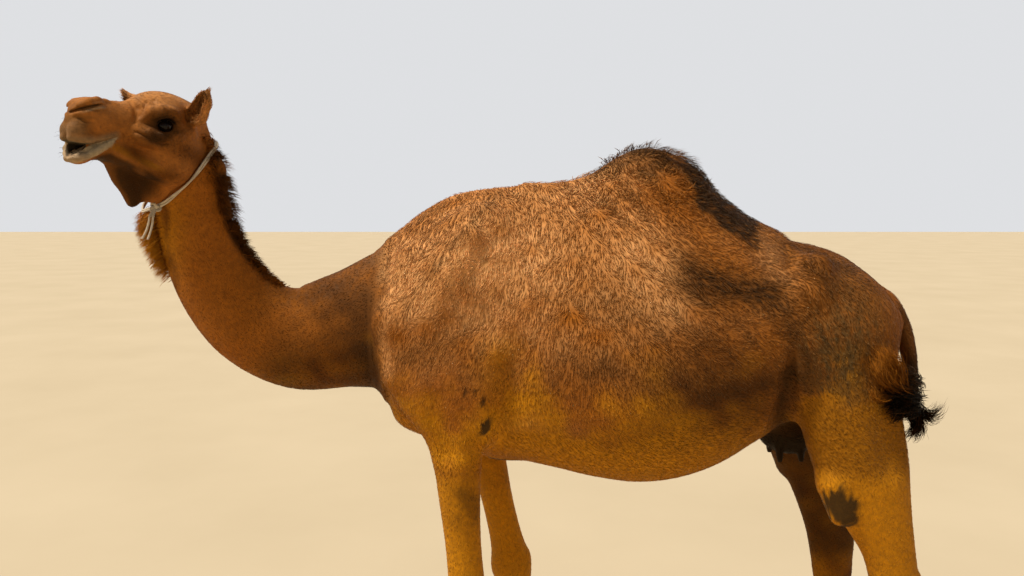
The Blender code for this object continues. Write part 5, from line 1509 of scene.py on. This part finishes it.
CHESTNUT = (0.39, 0.122, 0.012)  # where no mark lies
DEEP_CHESTNUT = (0.29, 0.082, 0.007)
COLOURS = [  # of the marks, in their order
    (0.60, 0.262, 0.078),  # tan wool
    (0.55, 0.218, 0.005),  # golden belly and legs, on the belly partly painted warm bounce light
    (0.125, 0.036, 0.003),  # umber, and painted shade on flank, belly, croup, neck and thighs
    (0.108, 0.058, 0.018),  # grey, and painted sheen and shade on the rump
    (0.040, 0.015, 0.004),  # dark wool, and painted shade and shadows
    (0.004, 0.003, 0.002),  # black
    (0.40, 0.31, 0.19),  # pale lips
    (0.062, 0.030, 0.007),  # pads
    (0.86, 0.44, 0.165),  # painted highlight on shoulder, flank and hump
]
WARM = (1.0, 0.66, 0.34, 1)  # sheen and gloss of hair


class Tree:
    """A material's nodes, made by short calls."""

    def __init__(self, name):
        self.material = bpy.data.materials.new(name)
        self.material.use_nodes = True
        self.nodes = self.material.node_tree.nodes
        self.links = self.material.node_tree.links
        self.shader = self.nodes["Principled BSDF"]

    def put(self, socket, value):
        """Links a socket to another one, or sets it to a value."""
        if isinstance(value, bpy.types.NodeSocket):
            self.links.new(value, socket)
        else:
            socket.default_value = value

    def node(self, kind, inputs=(), **settings):
        made = self.nodes.new(kind)
        for key, value in settings.items():
            setattr(made, key, value)
        for key, value in dict(inputs).items():
            self.put(made.inputs[key], value)
        return made

    def attribute(self, name):
        """The three numbers stored under a name."""
        vector = self.node("ShaderNodeAttribute", attribute_name=name).outputs["Vector"]
        return self.node("ShaderNodeSeparateXYZ", {0: vector}).outputs

    def mix(self, share, a, b, blend="MIX"):
        made = self.node("ShaderNodeMix", data_type="RGBA", blend_type=blend)
        for number, value in ((0, share), (6, a), (7, b)):
            self.put(made.inputs[number], (*value, 1) if isinstance(value, tuple) else value)
        return made.outputs[2]

    def noise(self, scale, detail=3.0, stretch=(1, 1, 1), roughness=0.5):
        place = self.node("ShaderNodeTexCoord").outputs["Object"]
        mapped = self.node("ShaderNodeMapping", {"Vector": place, "Scale": stretch}).outputs[0]
        inputs = {"Vector": mapped, "Scale": scale, "Detail": detail, "Roughness": roughness}
        return self.node("ShaderNodeTexNoise", inputs).outputs["Fac"]

    def span(self, value, low, high, start=0.0, end=1.0):
        """A value from start to end, laid over low to high."""
        inputs = {0: value, 1: start, 2: end, 3: low, 4: high}
        return self.node("ShaderNodeMapRange", inputs).outputs[0]

    def times(self, a, b):
        return self.node("ShaderNodeMath", {0: a, 1: b}, operation="MULTIPLY").outputs[0]

    def bump(self, height, strength, distance, under=None):
        inputs = {"Height": height, "Strength": strength, "Distance": distance}
        if under is not None:
            inputs["Normal"] = under
        return self.node("ShaderNodeBump", inputs).outputs[0]

    def finish(self, colour=None, roughness=None, normal=None, **values):
        for key, value in (("Base Color", colour), ("Roughness", roughness), ("Normal", normal)):
            if value is not None:
                self.put(self.shader.inputs[key], value)
        for key, value in values.items():
            self.shader.inputs[key.replace("_", " ")].default_value = value
        return self.material


def grey(tree, value):
    """A colour with the value in all three channels."""
    return tree.node("ShaderNodeCombineColor", {0: value, 1: value, 2: value}).outputs[0]


def coat_material(name, hair=True, gloss=0.2):
    """Skin or hair with the coat's marks."""
    tree = Tree(name)
    shares = [s for part in "abc" for s in list(tree.attribute("marks_" + part))[:3]]
    mottle = tree.noise(9.0, 4.0, roughness=0.6)
    colour = tree.mix(tree.span(mottle, 0, 0.55, 0.35, 0.75), CHESTNUT, DEEP_CHESTNUT)
    for share, shown in zip(shares, COLOURS):
        colour = tree.mix(share, colour, shown)
    fine = tree.noise(140.0 if hair else 70.0, 2.0)
    colour = tree.mix(1.0, colour, grey(tree, tree.span(fine, 0.78, 1.22, 0.25, 0.75)), "MULTIPLY")
    if hair:
        tone = tree.attribute("shade")
        colour = tree.mix(1.0, colour, grey(tree, tree.span(tone[0], 0.70, 1.32)), "MULTIPLY")
        colour = tree.mix(1.0, colour, grey(tree, tree.span(tone[1], 0.82, 1.14)), "MULTIPLY")
        rough = tree.span(fine, 0.50, 0.72, 0.3, 0.7)
        return tree.finish(colour, rough, Sheen_Weight=gloss * 0.3, Sheen_Roughness=0.4, Sheen_Tint=WARM,
                           Specular_Tint=WARM, Specular_IOR_Level=gloss)
    colour = tree.mix(1.0, colour, (0.93, 0.91, 0.89), "MULTIPLY")
    streaks = tree.noise(420.0, 2.0, (1, 1, 0.22))
    crackle = tree.node("ShaderNodeTexVoronoi", {"Scale": 170.0}, feature="DISTANCE_TO_EDGE")
    crack = tree.span(crackle.outputs["Distance"], 0.0, 1.0, 0.0, 0.08)
    normal = tree.bump(tree.times(crack, shares[7]), 0.5, 0.0012)
    normal = tree.bump(streaks, 0.45, 0.0012, normal)
    rough = tree.span(fine, 0.62, 0.85, 0.3, 0.7)
    return tree.finish(colour, rough, normal, Specular_Tint=WARM, Specular_IOR_Level=0.25)


def eye_material():
    tree = Tree("eye")
    clouds = tree.noise(160.0, 3.0)
    colour = tree.mix(tree.span(clouds, 0, 1, 0.3, 0.7), (0.003, 0.002, 0.002), (0.016, 0.008, 0.004))
    rough = tree.span(tree.noise(60.0), 0.03, 0.08)
    return tree.finish(colour, rough, Coat_Weight=0.14, Coat_Roughness=0.02, Specular_IOR_Level=0.10)


def horn_material():
    tree = Tree("horn")
    grain = tree.noise(260.0, 3.0, (0.2, 1, 1))
    colour = tree.mix(tree.span(grain, 0, 1, 0.3, 0.7), (0.030, 0.020, 0.013), (0.105, 0.075, 0.045))
    return tree.finish(colour, tree.span(grain, 0.35, 0.6), tree.bump(grain, 0.4, 0.0006))


def rope_material():
    tree = Tree("rope")
    dirt = tree.noise(55.0, 4.0)
    fibre = tree.noise(1500.0, 2.0, (1, 1, 0.4))
    colour = tree.mix(tree.span(dirt, 0, 1, 0.35, 0.75), (0.68, 0.58, 0.42), (0.40, 0.30, 0.19))
    colour = tree.mix(tree.span(fibre, 0, 0.55, 0.45, 0.75), colour, (0.24, 0.17, 0.10))
    return tree.finish(colour, tree.span(fibre, 0.7, 0.9), tree.bump(fibre, 0.6, 0.0006), Sheen_Weight=0.2)


def floor_material():
    tree = Tree("floor")
    grain = tree.noise(0.8, 4.0)
    colour = tree.mix(tree.span(grain, 0, 1, 0.3, 0.7), (0.465, 0.368, 0.235), (0.50, 0.398, 0.258))
    return tree.finish(colour, 0.9, None, Specular_IOR_Level=0.1)


# ---------------------------------------------------------------- eyes, nails, rope


def round_mesh(name, shape, rings=40, sides=64):
    """A closed round mesh: shape(polar, turn) gives points for angles from the pole and round it."""
    polar = np.linspace(0, np.pi, rings + 1)[1:-1]
    turn = np.linspace(0, 2 * np.pi, sides, endpoint=False)
    grid_polar, grid_turn = np.meshgrid(polar, turn, indexing="ij")
    ring_points = shape(grid_polar.ravel(), grid_turn.ravel())
    poles = shape(np.array([0.0, np.pi]), np.array([0.0, 0.0]))
    points = np.concatenate([ring_points, poles])
    faces = []
    for j in range(sides):
        k = (j + 1) % sides
        for i in range(rings - 2):
            a, b = i * sides + j, i * sides + k
            faces += [(a, a + sides, b + sides), (a, b + sides, b)]
        last = (rings - 2) * sides
        faces += [(len(ring_points), j, k), (len(ring_points) + 1, last + k, last + j)]
    return object_of(name, points, np.array(faces))


def make_eyes(material):
    """Eyeballs, fuller in front."""
    for left, word in ((1, "left"), (-1, "right")):
        middle = np.array(EYE_PLACE) * (1, left, 1)
        out = unit((0.30, 0.95 * left, 0.04))
        side = unit(np.cross((0, 0, 1), out))
        up = np.cross(out, side)

        def shape(polar, turn):
            radius = EYE_RADIUS * (1 + 0.075 * np.exp(-((polar / 0.42) ** 2)))
            round_it = np.cos(turn)[:, None] * side + np.sin(turn)[:, None] * up
            local = np.cos(polar)[:, None] * out + np.sin(polar)[:, None] * round_it
            return in_body(middle + local * radius[:, None]) + HEAD.origin

        eye = round_mesh("eyeball_" + word, shape)
        eye.data.materials.append(material)
        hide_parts("eye_" + word)


def make_nails(material):
    """A ribbed, hooked nail in the place of each of the solids'."""
    for pair in ("front", "hind"):
        for word in ("left", "right"):
            for toe in ("inner", "outer"):
                node = f"toenail_{pair}_{word}_{toe}"
                low, high = (np.array(v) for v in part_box(node))
                middle, reach = (low + high) / 2 - OFFSET, (high - low) / 2

                def shape(polar, turn):
                    x = np.cos(polar)
                    y = np.sin(polar) * np.cos(turn)
                    z = np.sin(polar) * np.sin(turn)
                    rib = 1 + 0.018 * np.cos(17 * turn) * np.sin(polar)
                    hook = -0.25 * np.clip(-x, 0, 1) ** 2
                    z = np.where(z < 0, z * 0.75, z)
                    y = y * rib * (1 - 0.25 * np.clip(-x, 0, 1))
                    return middle + np.stack([x, y, z * rib + hook], 1) * reach

                nail = round_mesh("nail_" + node[8:], shape, 22, 36)
                nail.data.materials.append(material)
                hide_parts(node)


def strand_mesh(name, centres, radius, closed, lay, sides=14, lobes=3):
    """A laid cord: a lobed section that turns once in `lay` metres."""
    count = len(centres)
    if closed:
        tangent = unit(np.roll(centres, -1, 0) - np.roll(centres, 1, 0))
    else:
        tangent = unit(np.gradient(centres, axis=0))
    side = unit(np.cross(tangent, (0.3, 0.2, 1.0)))
    up = np.cross(tangent, side)
    run = np.concatenate([[0], np.cumsum(np.linalg.norm(np.diff(centres, axis=0), axis=1))])
    total = run[-1] + (np.linalg.norm(centres[0] - centres[-1]) if closed else 0)
    turns = round(total / lay) if closed else total / lay
    angle = np.linspace(0, 2 * np.pi, sides, endpoint=False)[None]
    spin = (run / total * turns * 2 * np.pi)[:, None]
    reach = radius * (0.80 + 0.20 * np.abs(np.cos((angle - spin) * lobes / 2)))
    ring = centres[:, None] + reach[..., None] * (
        np.cos(angle)[..., None] * side[:, None] + np.sin(angle)[..., None] * up[:, None])
    points = ring.reshape(-1, 3)
    i, j = np.meshgrid(np.arange(count if closed else count - 1), np.arange(sides), indexing="ij")
    k, m = (i + 1) % count, (j + 1) % sides
    quads = np.stack([i * sides + j, i * sides + m, k * sides + m, k * sides + j], -1).reshape(-1, 4)
    faces = np.concatenate([quads[:, [0, 1, 2]], quads[:, [0, 2, 3]]])
    if not closed:
        points = np.concatenate([points, centres[:1], centres[-1:]])
        last = (count - 1) * sides
        fan = [(count * sides, (n + 1) % sides, n) for n in range(sides)]
        fan += [(count * sides + 1, last + n, last + (n + 1) % sides) for n in range(sides)]
        faces = np.concatenate([faces, np.array(fan)])
    return object_of(name, points, faces)


def collar_axes():
    """From the collar's middle to the throat, and at a right angle to it, to the near side."""
    down, near = unit(COLLAR_DOWN), np.array(COLLAR_NEAR)
    return down, unit(near - down * (near @ down))


def collar_line():
    """The collar's centre line, from its solid."""
    data = bpy.data.objects["collar_rope"].data
    points = np.array([v.co for v in data.vertices], float) - OFFSET
    down, near = collar_axes()
    flat = points - np.array(COLLAR_CENTRE)
    turn = np.arctan2(flat @ near, flat @ down) % (2 * np.pi)
    bins = 36
    index = np.round(turn / (2 * np.pi) * bins).astype(int) % bins
    ring = np.array([points[index == n].mean(0) for n in range(bins)])
    # a closed smooth curve through them
    t = np.linspace(0, 1, 10, endpoint=False)[:, None]
    fine = []
    for n in range(bins):
        a, b, c, d = (ring[(n + m - 1) % bins] for m in range(4))
        square, cube = 2 * a - 5 * b + 4 * c - d, 3 * b - a - 3 * c + d
        fine.append(0.5 * (2 * b + (c - a) * t + square * t**2 + cube * t**3))
    return np.concatenate(fine)


def make_collar(ring, material):
    """Two laid strands round the neck, and their knot with its two short ends. Returns the knot's middle."""
    out = unit(ring - ring.mean(0))
    tangent = unit(np.roll(ring, -1, 0) - np.roll(ring, 1, 0))
    across = unit(np.cross(tangent, out))
    turn = np.linspace(0, 2 * np.pi, len(ring), endpoint=False)
    swing = 0.9 * np.sin(turn * 2 + 0.6) + 0.5 * np.sin(turn * 3)
    offset = across * np.cos(swing)[:, None] + out * np.sin(swing)[:, None]
    low, high = (np.array(v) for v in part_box("collar_knot"))
    middle, reach = (low + high) / 2 - OFFSET, (high - low) / 2
    # the knot: a closed trefoil of the same cord round a core
    t = np.linspace(0, 2 * np.pi, 150, endpoint=False)
    knot = [np.sin(t) + 2 * np.sin(2 * t), -np.sin(3 * t) * 1.3, np.cos(t) - 2 * np.cos(2 * t)]
    knot = (np.stack(knot, 1) / 3 * (reach - 0.0036)) @ turned(x=20, y=35, z=25).T
    core = np.linspace(-1, 1, 24)[:, None] * np.array((0.55, 0.2, 0.25)) * reach
    stub = np.linspace(0.15, 0.97, 16)[:, None]
    # name, line, radius, closed, length of a turn, node
    pieces = [
        ("collar_strand_a", ring + offset * 0.0031, ROPE_RADIUS, True, 0.011, "collar_rope"),
        ("collar_strand_b", ring + offset * -0.0031, ROPE_RADIUS, True, 0.011, "collar_rope"),
        ("knot", middle + knot, 0.0040, True, 0.011, "collar_knot"),
        ("knot_core", middle + core, 0.0065, False, 0.02, "collar_knot"),
        ("knot_end_front", middle + stub * np.array(CORD_STARTS[0]), 0.0042, False, 0.02, "collar_knot"),
        ("knot_end_rear", middle + stub * np.array(CORD_STARTS[1]), 0.0042, False, 0.02, "collar_knot"),
    ]
    for name, line, radius, closed, lay, node in pieces:
        piece = strand_mesh(name, line, radius, closed, lay)
        piece.data.materials.append(material)
        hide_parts(node)
    return middle


def cord_line(start, fall, count=15):
    """A free end's line from the knot: straight down at first, then bending to its fall."""
    fall = np.array(fall) / np.linalg.norm(fall)
    share = np.linspace(0, 1, count)[1:, None] ** 0.7
    steps = share * fall + (1 - share) * np.array((0, 0, -1.0))
    steps *= CORD_LENGTH / (count - 1) / np.linalg.norm(steps, axis=1, keepdims=True)
    return np.vstack([start, start + np.cumsum(steps, axis=0)])


def make_cords(knot_middle, material):
    """The collar's two free ends."""
    for start, fall, word in zip(CORD_STARTS, CORD_FALLS, ("front", "rear")):
        line = cord_line(knot_middle + start, fall)
        curve = bpy.data.curves.new("cord_" + word, "CURVE")
        curve.dimensions = "3D"
        curve.bevel_depth = CORD_RADIUS
        curve.bevel_resolution = 4
        curve.use_fill_caps = True
        path = curve.splines.new("POLY")
        path.points.add(len(line) - 1)
        for knot, point in zip(path.points, line):
            knot.co = (*point, 1)
        curve.materials.append(material)
        cord = on_body("cord_" + word, curve)
        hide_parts("collar_end_" + word)


def make_skin(volume, material):
    """The volume's surface, thinned to its share of triangles, with the coat's marks."""
    points, quads = surface(volume)
    faces = np.concatenate([quads[:, [0, 1, 2]], quads[:, [0, 2, 3]]])
    skin = object_of("skin", points, faces)
    if len(faces) > SKIN_TRIANGLES:
        thin = skin.modifiers.new("thin", "DECIMATE")
        thin.ratio = SKIN_TRIANGLES / len(faces)
        graph = bpy.context.evaluated_depsgraph_get()
        mesh = bpy.data.meshes.new_from_object(skin.evaluated_get(graph))
        skin.modifiers.clear()
        skin.data = mesh
        mesh.polygons.foreach_set("use_smooth", np.ones(len(mesh.polygons), bool))
    places, normals, _ = arrays_of(skin.data)
    give(skin.data, marks(places, normals), None)
    skin.data.materials.append(material)
    return skin


FLESH = """barrel forequarters hindquarters hump udder sternal_pad head lower_jaw ear_left ear_right
neck_upper neck_middle neck_lower forearm_left forearm_right gaskin_left gaskin_right
lower_leg_front_left lower_leg_front_right lower_leg_hind_left lower_leg_hind_right
foot_front_left foot_front_right foot_hind_left foot_hind_right tail""".split()


# ---------------------------------------------------------------- stage, light and camera


def make_stage():
    """A pale floor, a soft sun and a studio's light all round."""
    floor = bpy.data.meshes.new("floor")
    floor.from_pydata([(-40, -40, 0), (40, -40, 0), (40, 60, 0), (-40, 60, 0)], [], [(0, 1, 2, 3)])
    floor.materials.append(floor_material())
    linked("floor", floor)
    sun = bpy.data.lights.new("key", "SUN")
    sun.energy, sun.angle, sun.color = 4.6, math.radians(12), (1.0, 0.965, 0.90)
    lamp = linked("key", sun)
    aim = unit((-0.42, -0.20, 0.89))  # towards the sun
    lamp.rotation_mode = "QUATERNION"
    half = math.acos(aim[2]) / 2
    axis = unit(np.cross((0, 0, 1), aim)) * math.sin(half)
    lamp.rotation_quaternion = (math.cos(half), *axis)
    world = bpy.data.worlds.new("studio")
    bpy.context.scene.world = world
    world.use_nodes = True
    nodes, links = world.node_tree.nodes, world.node_tree.links
    back = nodes["Background"]
    back.inputs[0].default_value = (0.735, 0.745, 0.765, 1)
    # brighter behind the camel than on the near side, like a studio's lit backdrop
    place = nodes.new("ShaderNodeTexCoord")
    parts = nodes.new("ShaderNodeSeparateXYZ")
    fade = nodes.new("ShaderNodeMapRange")
    fade.interpolation_type = "SMOOTHSTEP"
    for n, value in enumerate((-0.05, 0.55, 0.34, 1.0)):
        fade.inputs[n + 1].default_value = value
    links.new(place.outputs["Generated"], parts.inputs[0])
    links.new(parts.outputs[1], fade.inputs[0])
    links.new(fade.outputs[0], back.inputs[1])
    bpy.context.scene.view_settings.view_transform = "Standard"


def make_camera():
    lens = bpy.data.cameras.new("camera")
    lens.lens, lens.sensor_width = LENS, SENSOR
    camera = linked("camera", lens)
    camera.location = np.array(CAMERA_PLACE) + OFFSET
    camera.rotation_euler = (math.radians(90) + CAMERA_TILT, 0, 0)
    bpy.context.scene.camera = camera


def offset_of():
    """From the body's own frame to the row frame, by the left eye's place in both."""
    low, high = (np.array(v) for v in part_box("eye_left"))
    return (low + high) / 2 - HEAD.point(EYE_PLACE)


# ---------------------------------------------------------------- the whole model

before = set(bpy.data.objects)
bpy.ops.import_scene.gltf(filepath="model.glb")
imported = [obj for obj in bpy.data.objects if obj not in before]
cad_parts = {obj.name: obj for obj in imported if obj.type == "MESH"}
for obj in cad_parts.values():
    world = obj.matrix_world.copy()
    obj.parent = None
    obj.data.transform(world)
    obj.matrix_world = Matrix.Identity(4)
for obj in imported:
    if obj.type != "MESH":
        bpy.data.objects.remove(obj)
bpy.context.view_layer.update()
OFFSET = offset_of()
make_camera()
make_stage()
rope = rope_material()
ring = collar_line()
knot_middle = make_collar(ring, rope)
make_cords(knot_middle, rope)
make_eyes(eye_material())
make_nails(horn_material())

volume = body(SKIN_SPACING, ring)
skin = make_skin(volume, coat_material("skin", hair=False))
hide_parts(*FLESH)

ground = Skin(skin.data, volume)
rng = np.random.default_rng(COAT_SEED)
fur, dark_fur = coat_material("fur"), coat_material("dark_fur", gloss=0.06)
scale = 1.0
for piece in short_coat(ground, rng, scale) + long_hair(ground, rng, scale):
    piece.data.materials.append(dark_fur if piece.name.startswith(("mane", "tail")) else fur)
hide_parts("tail_tuft")
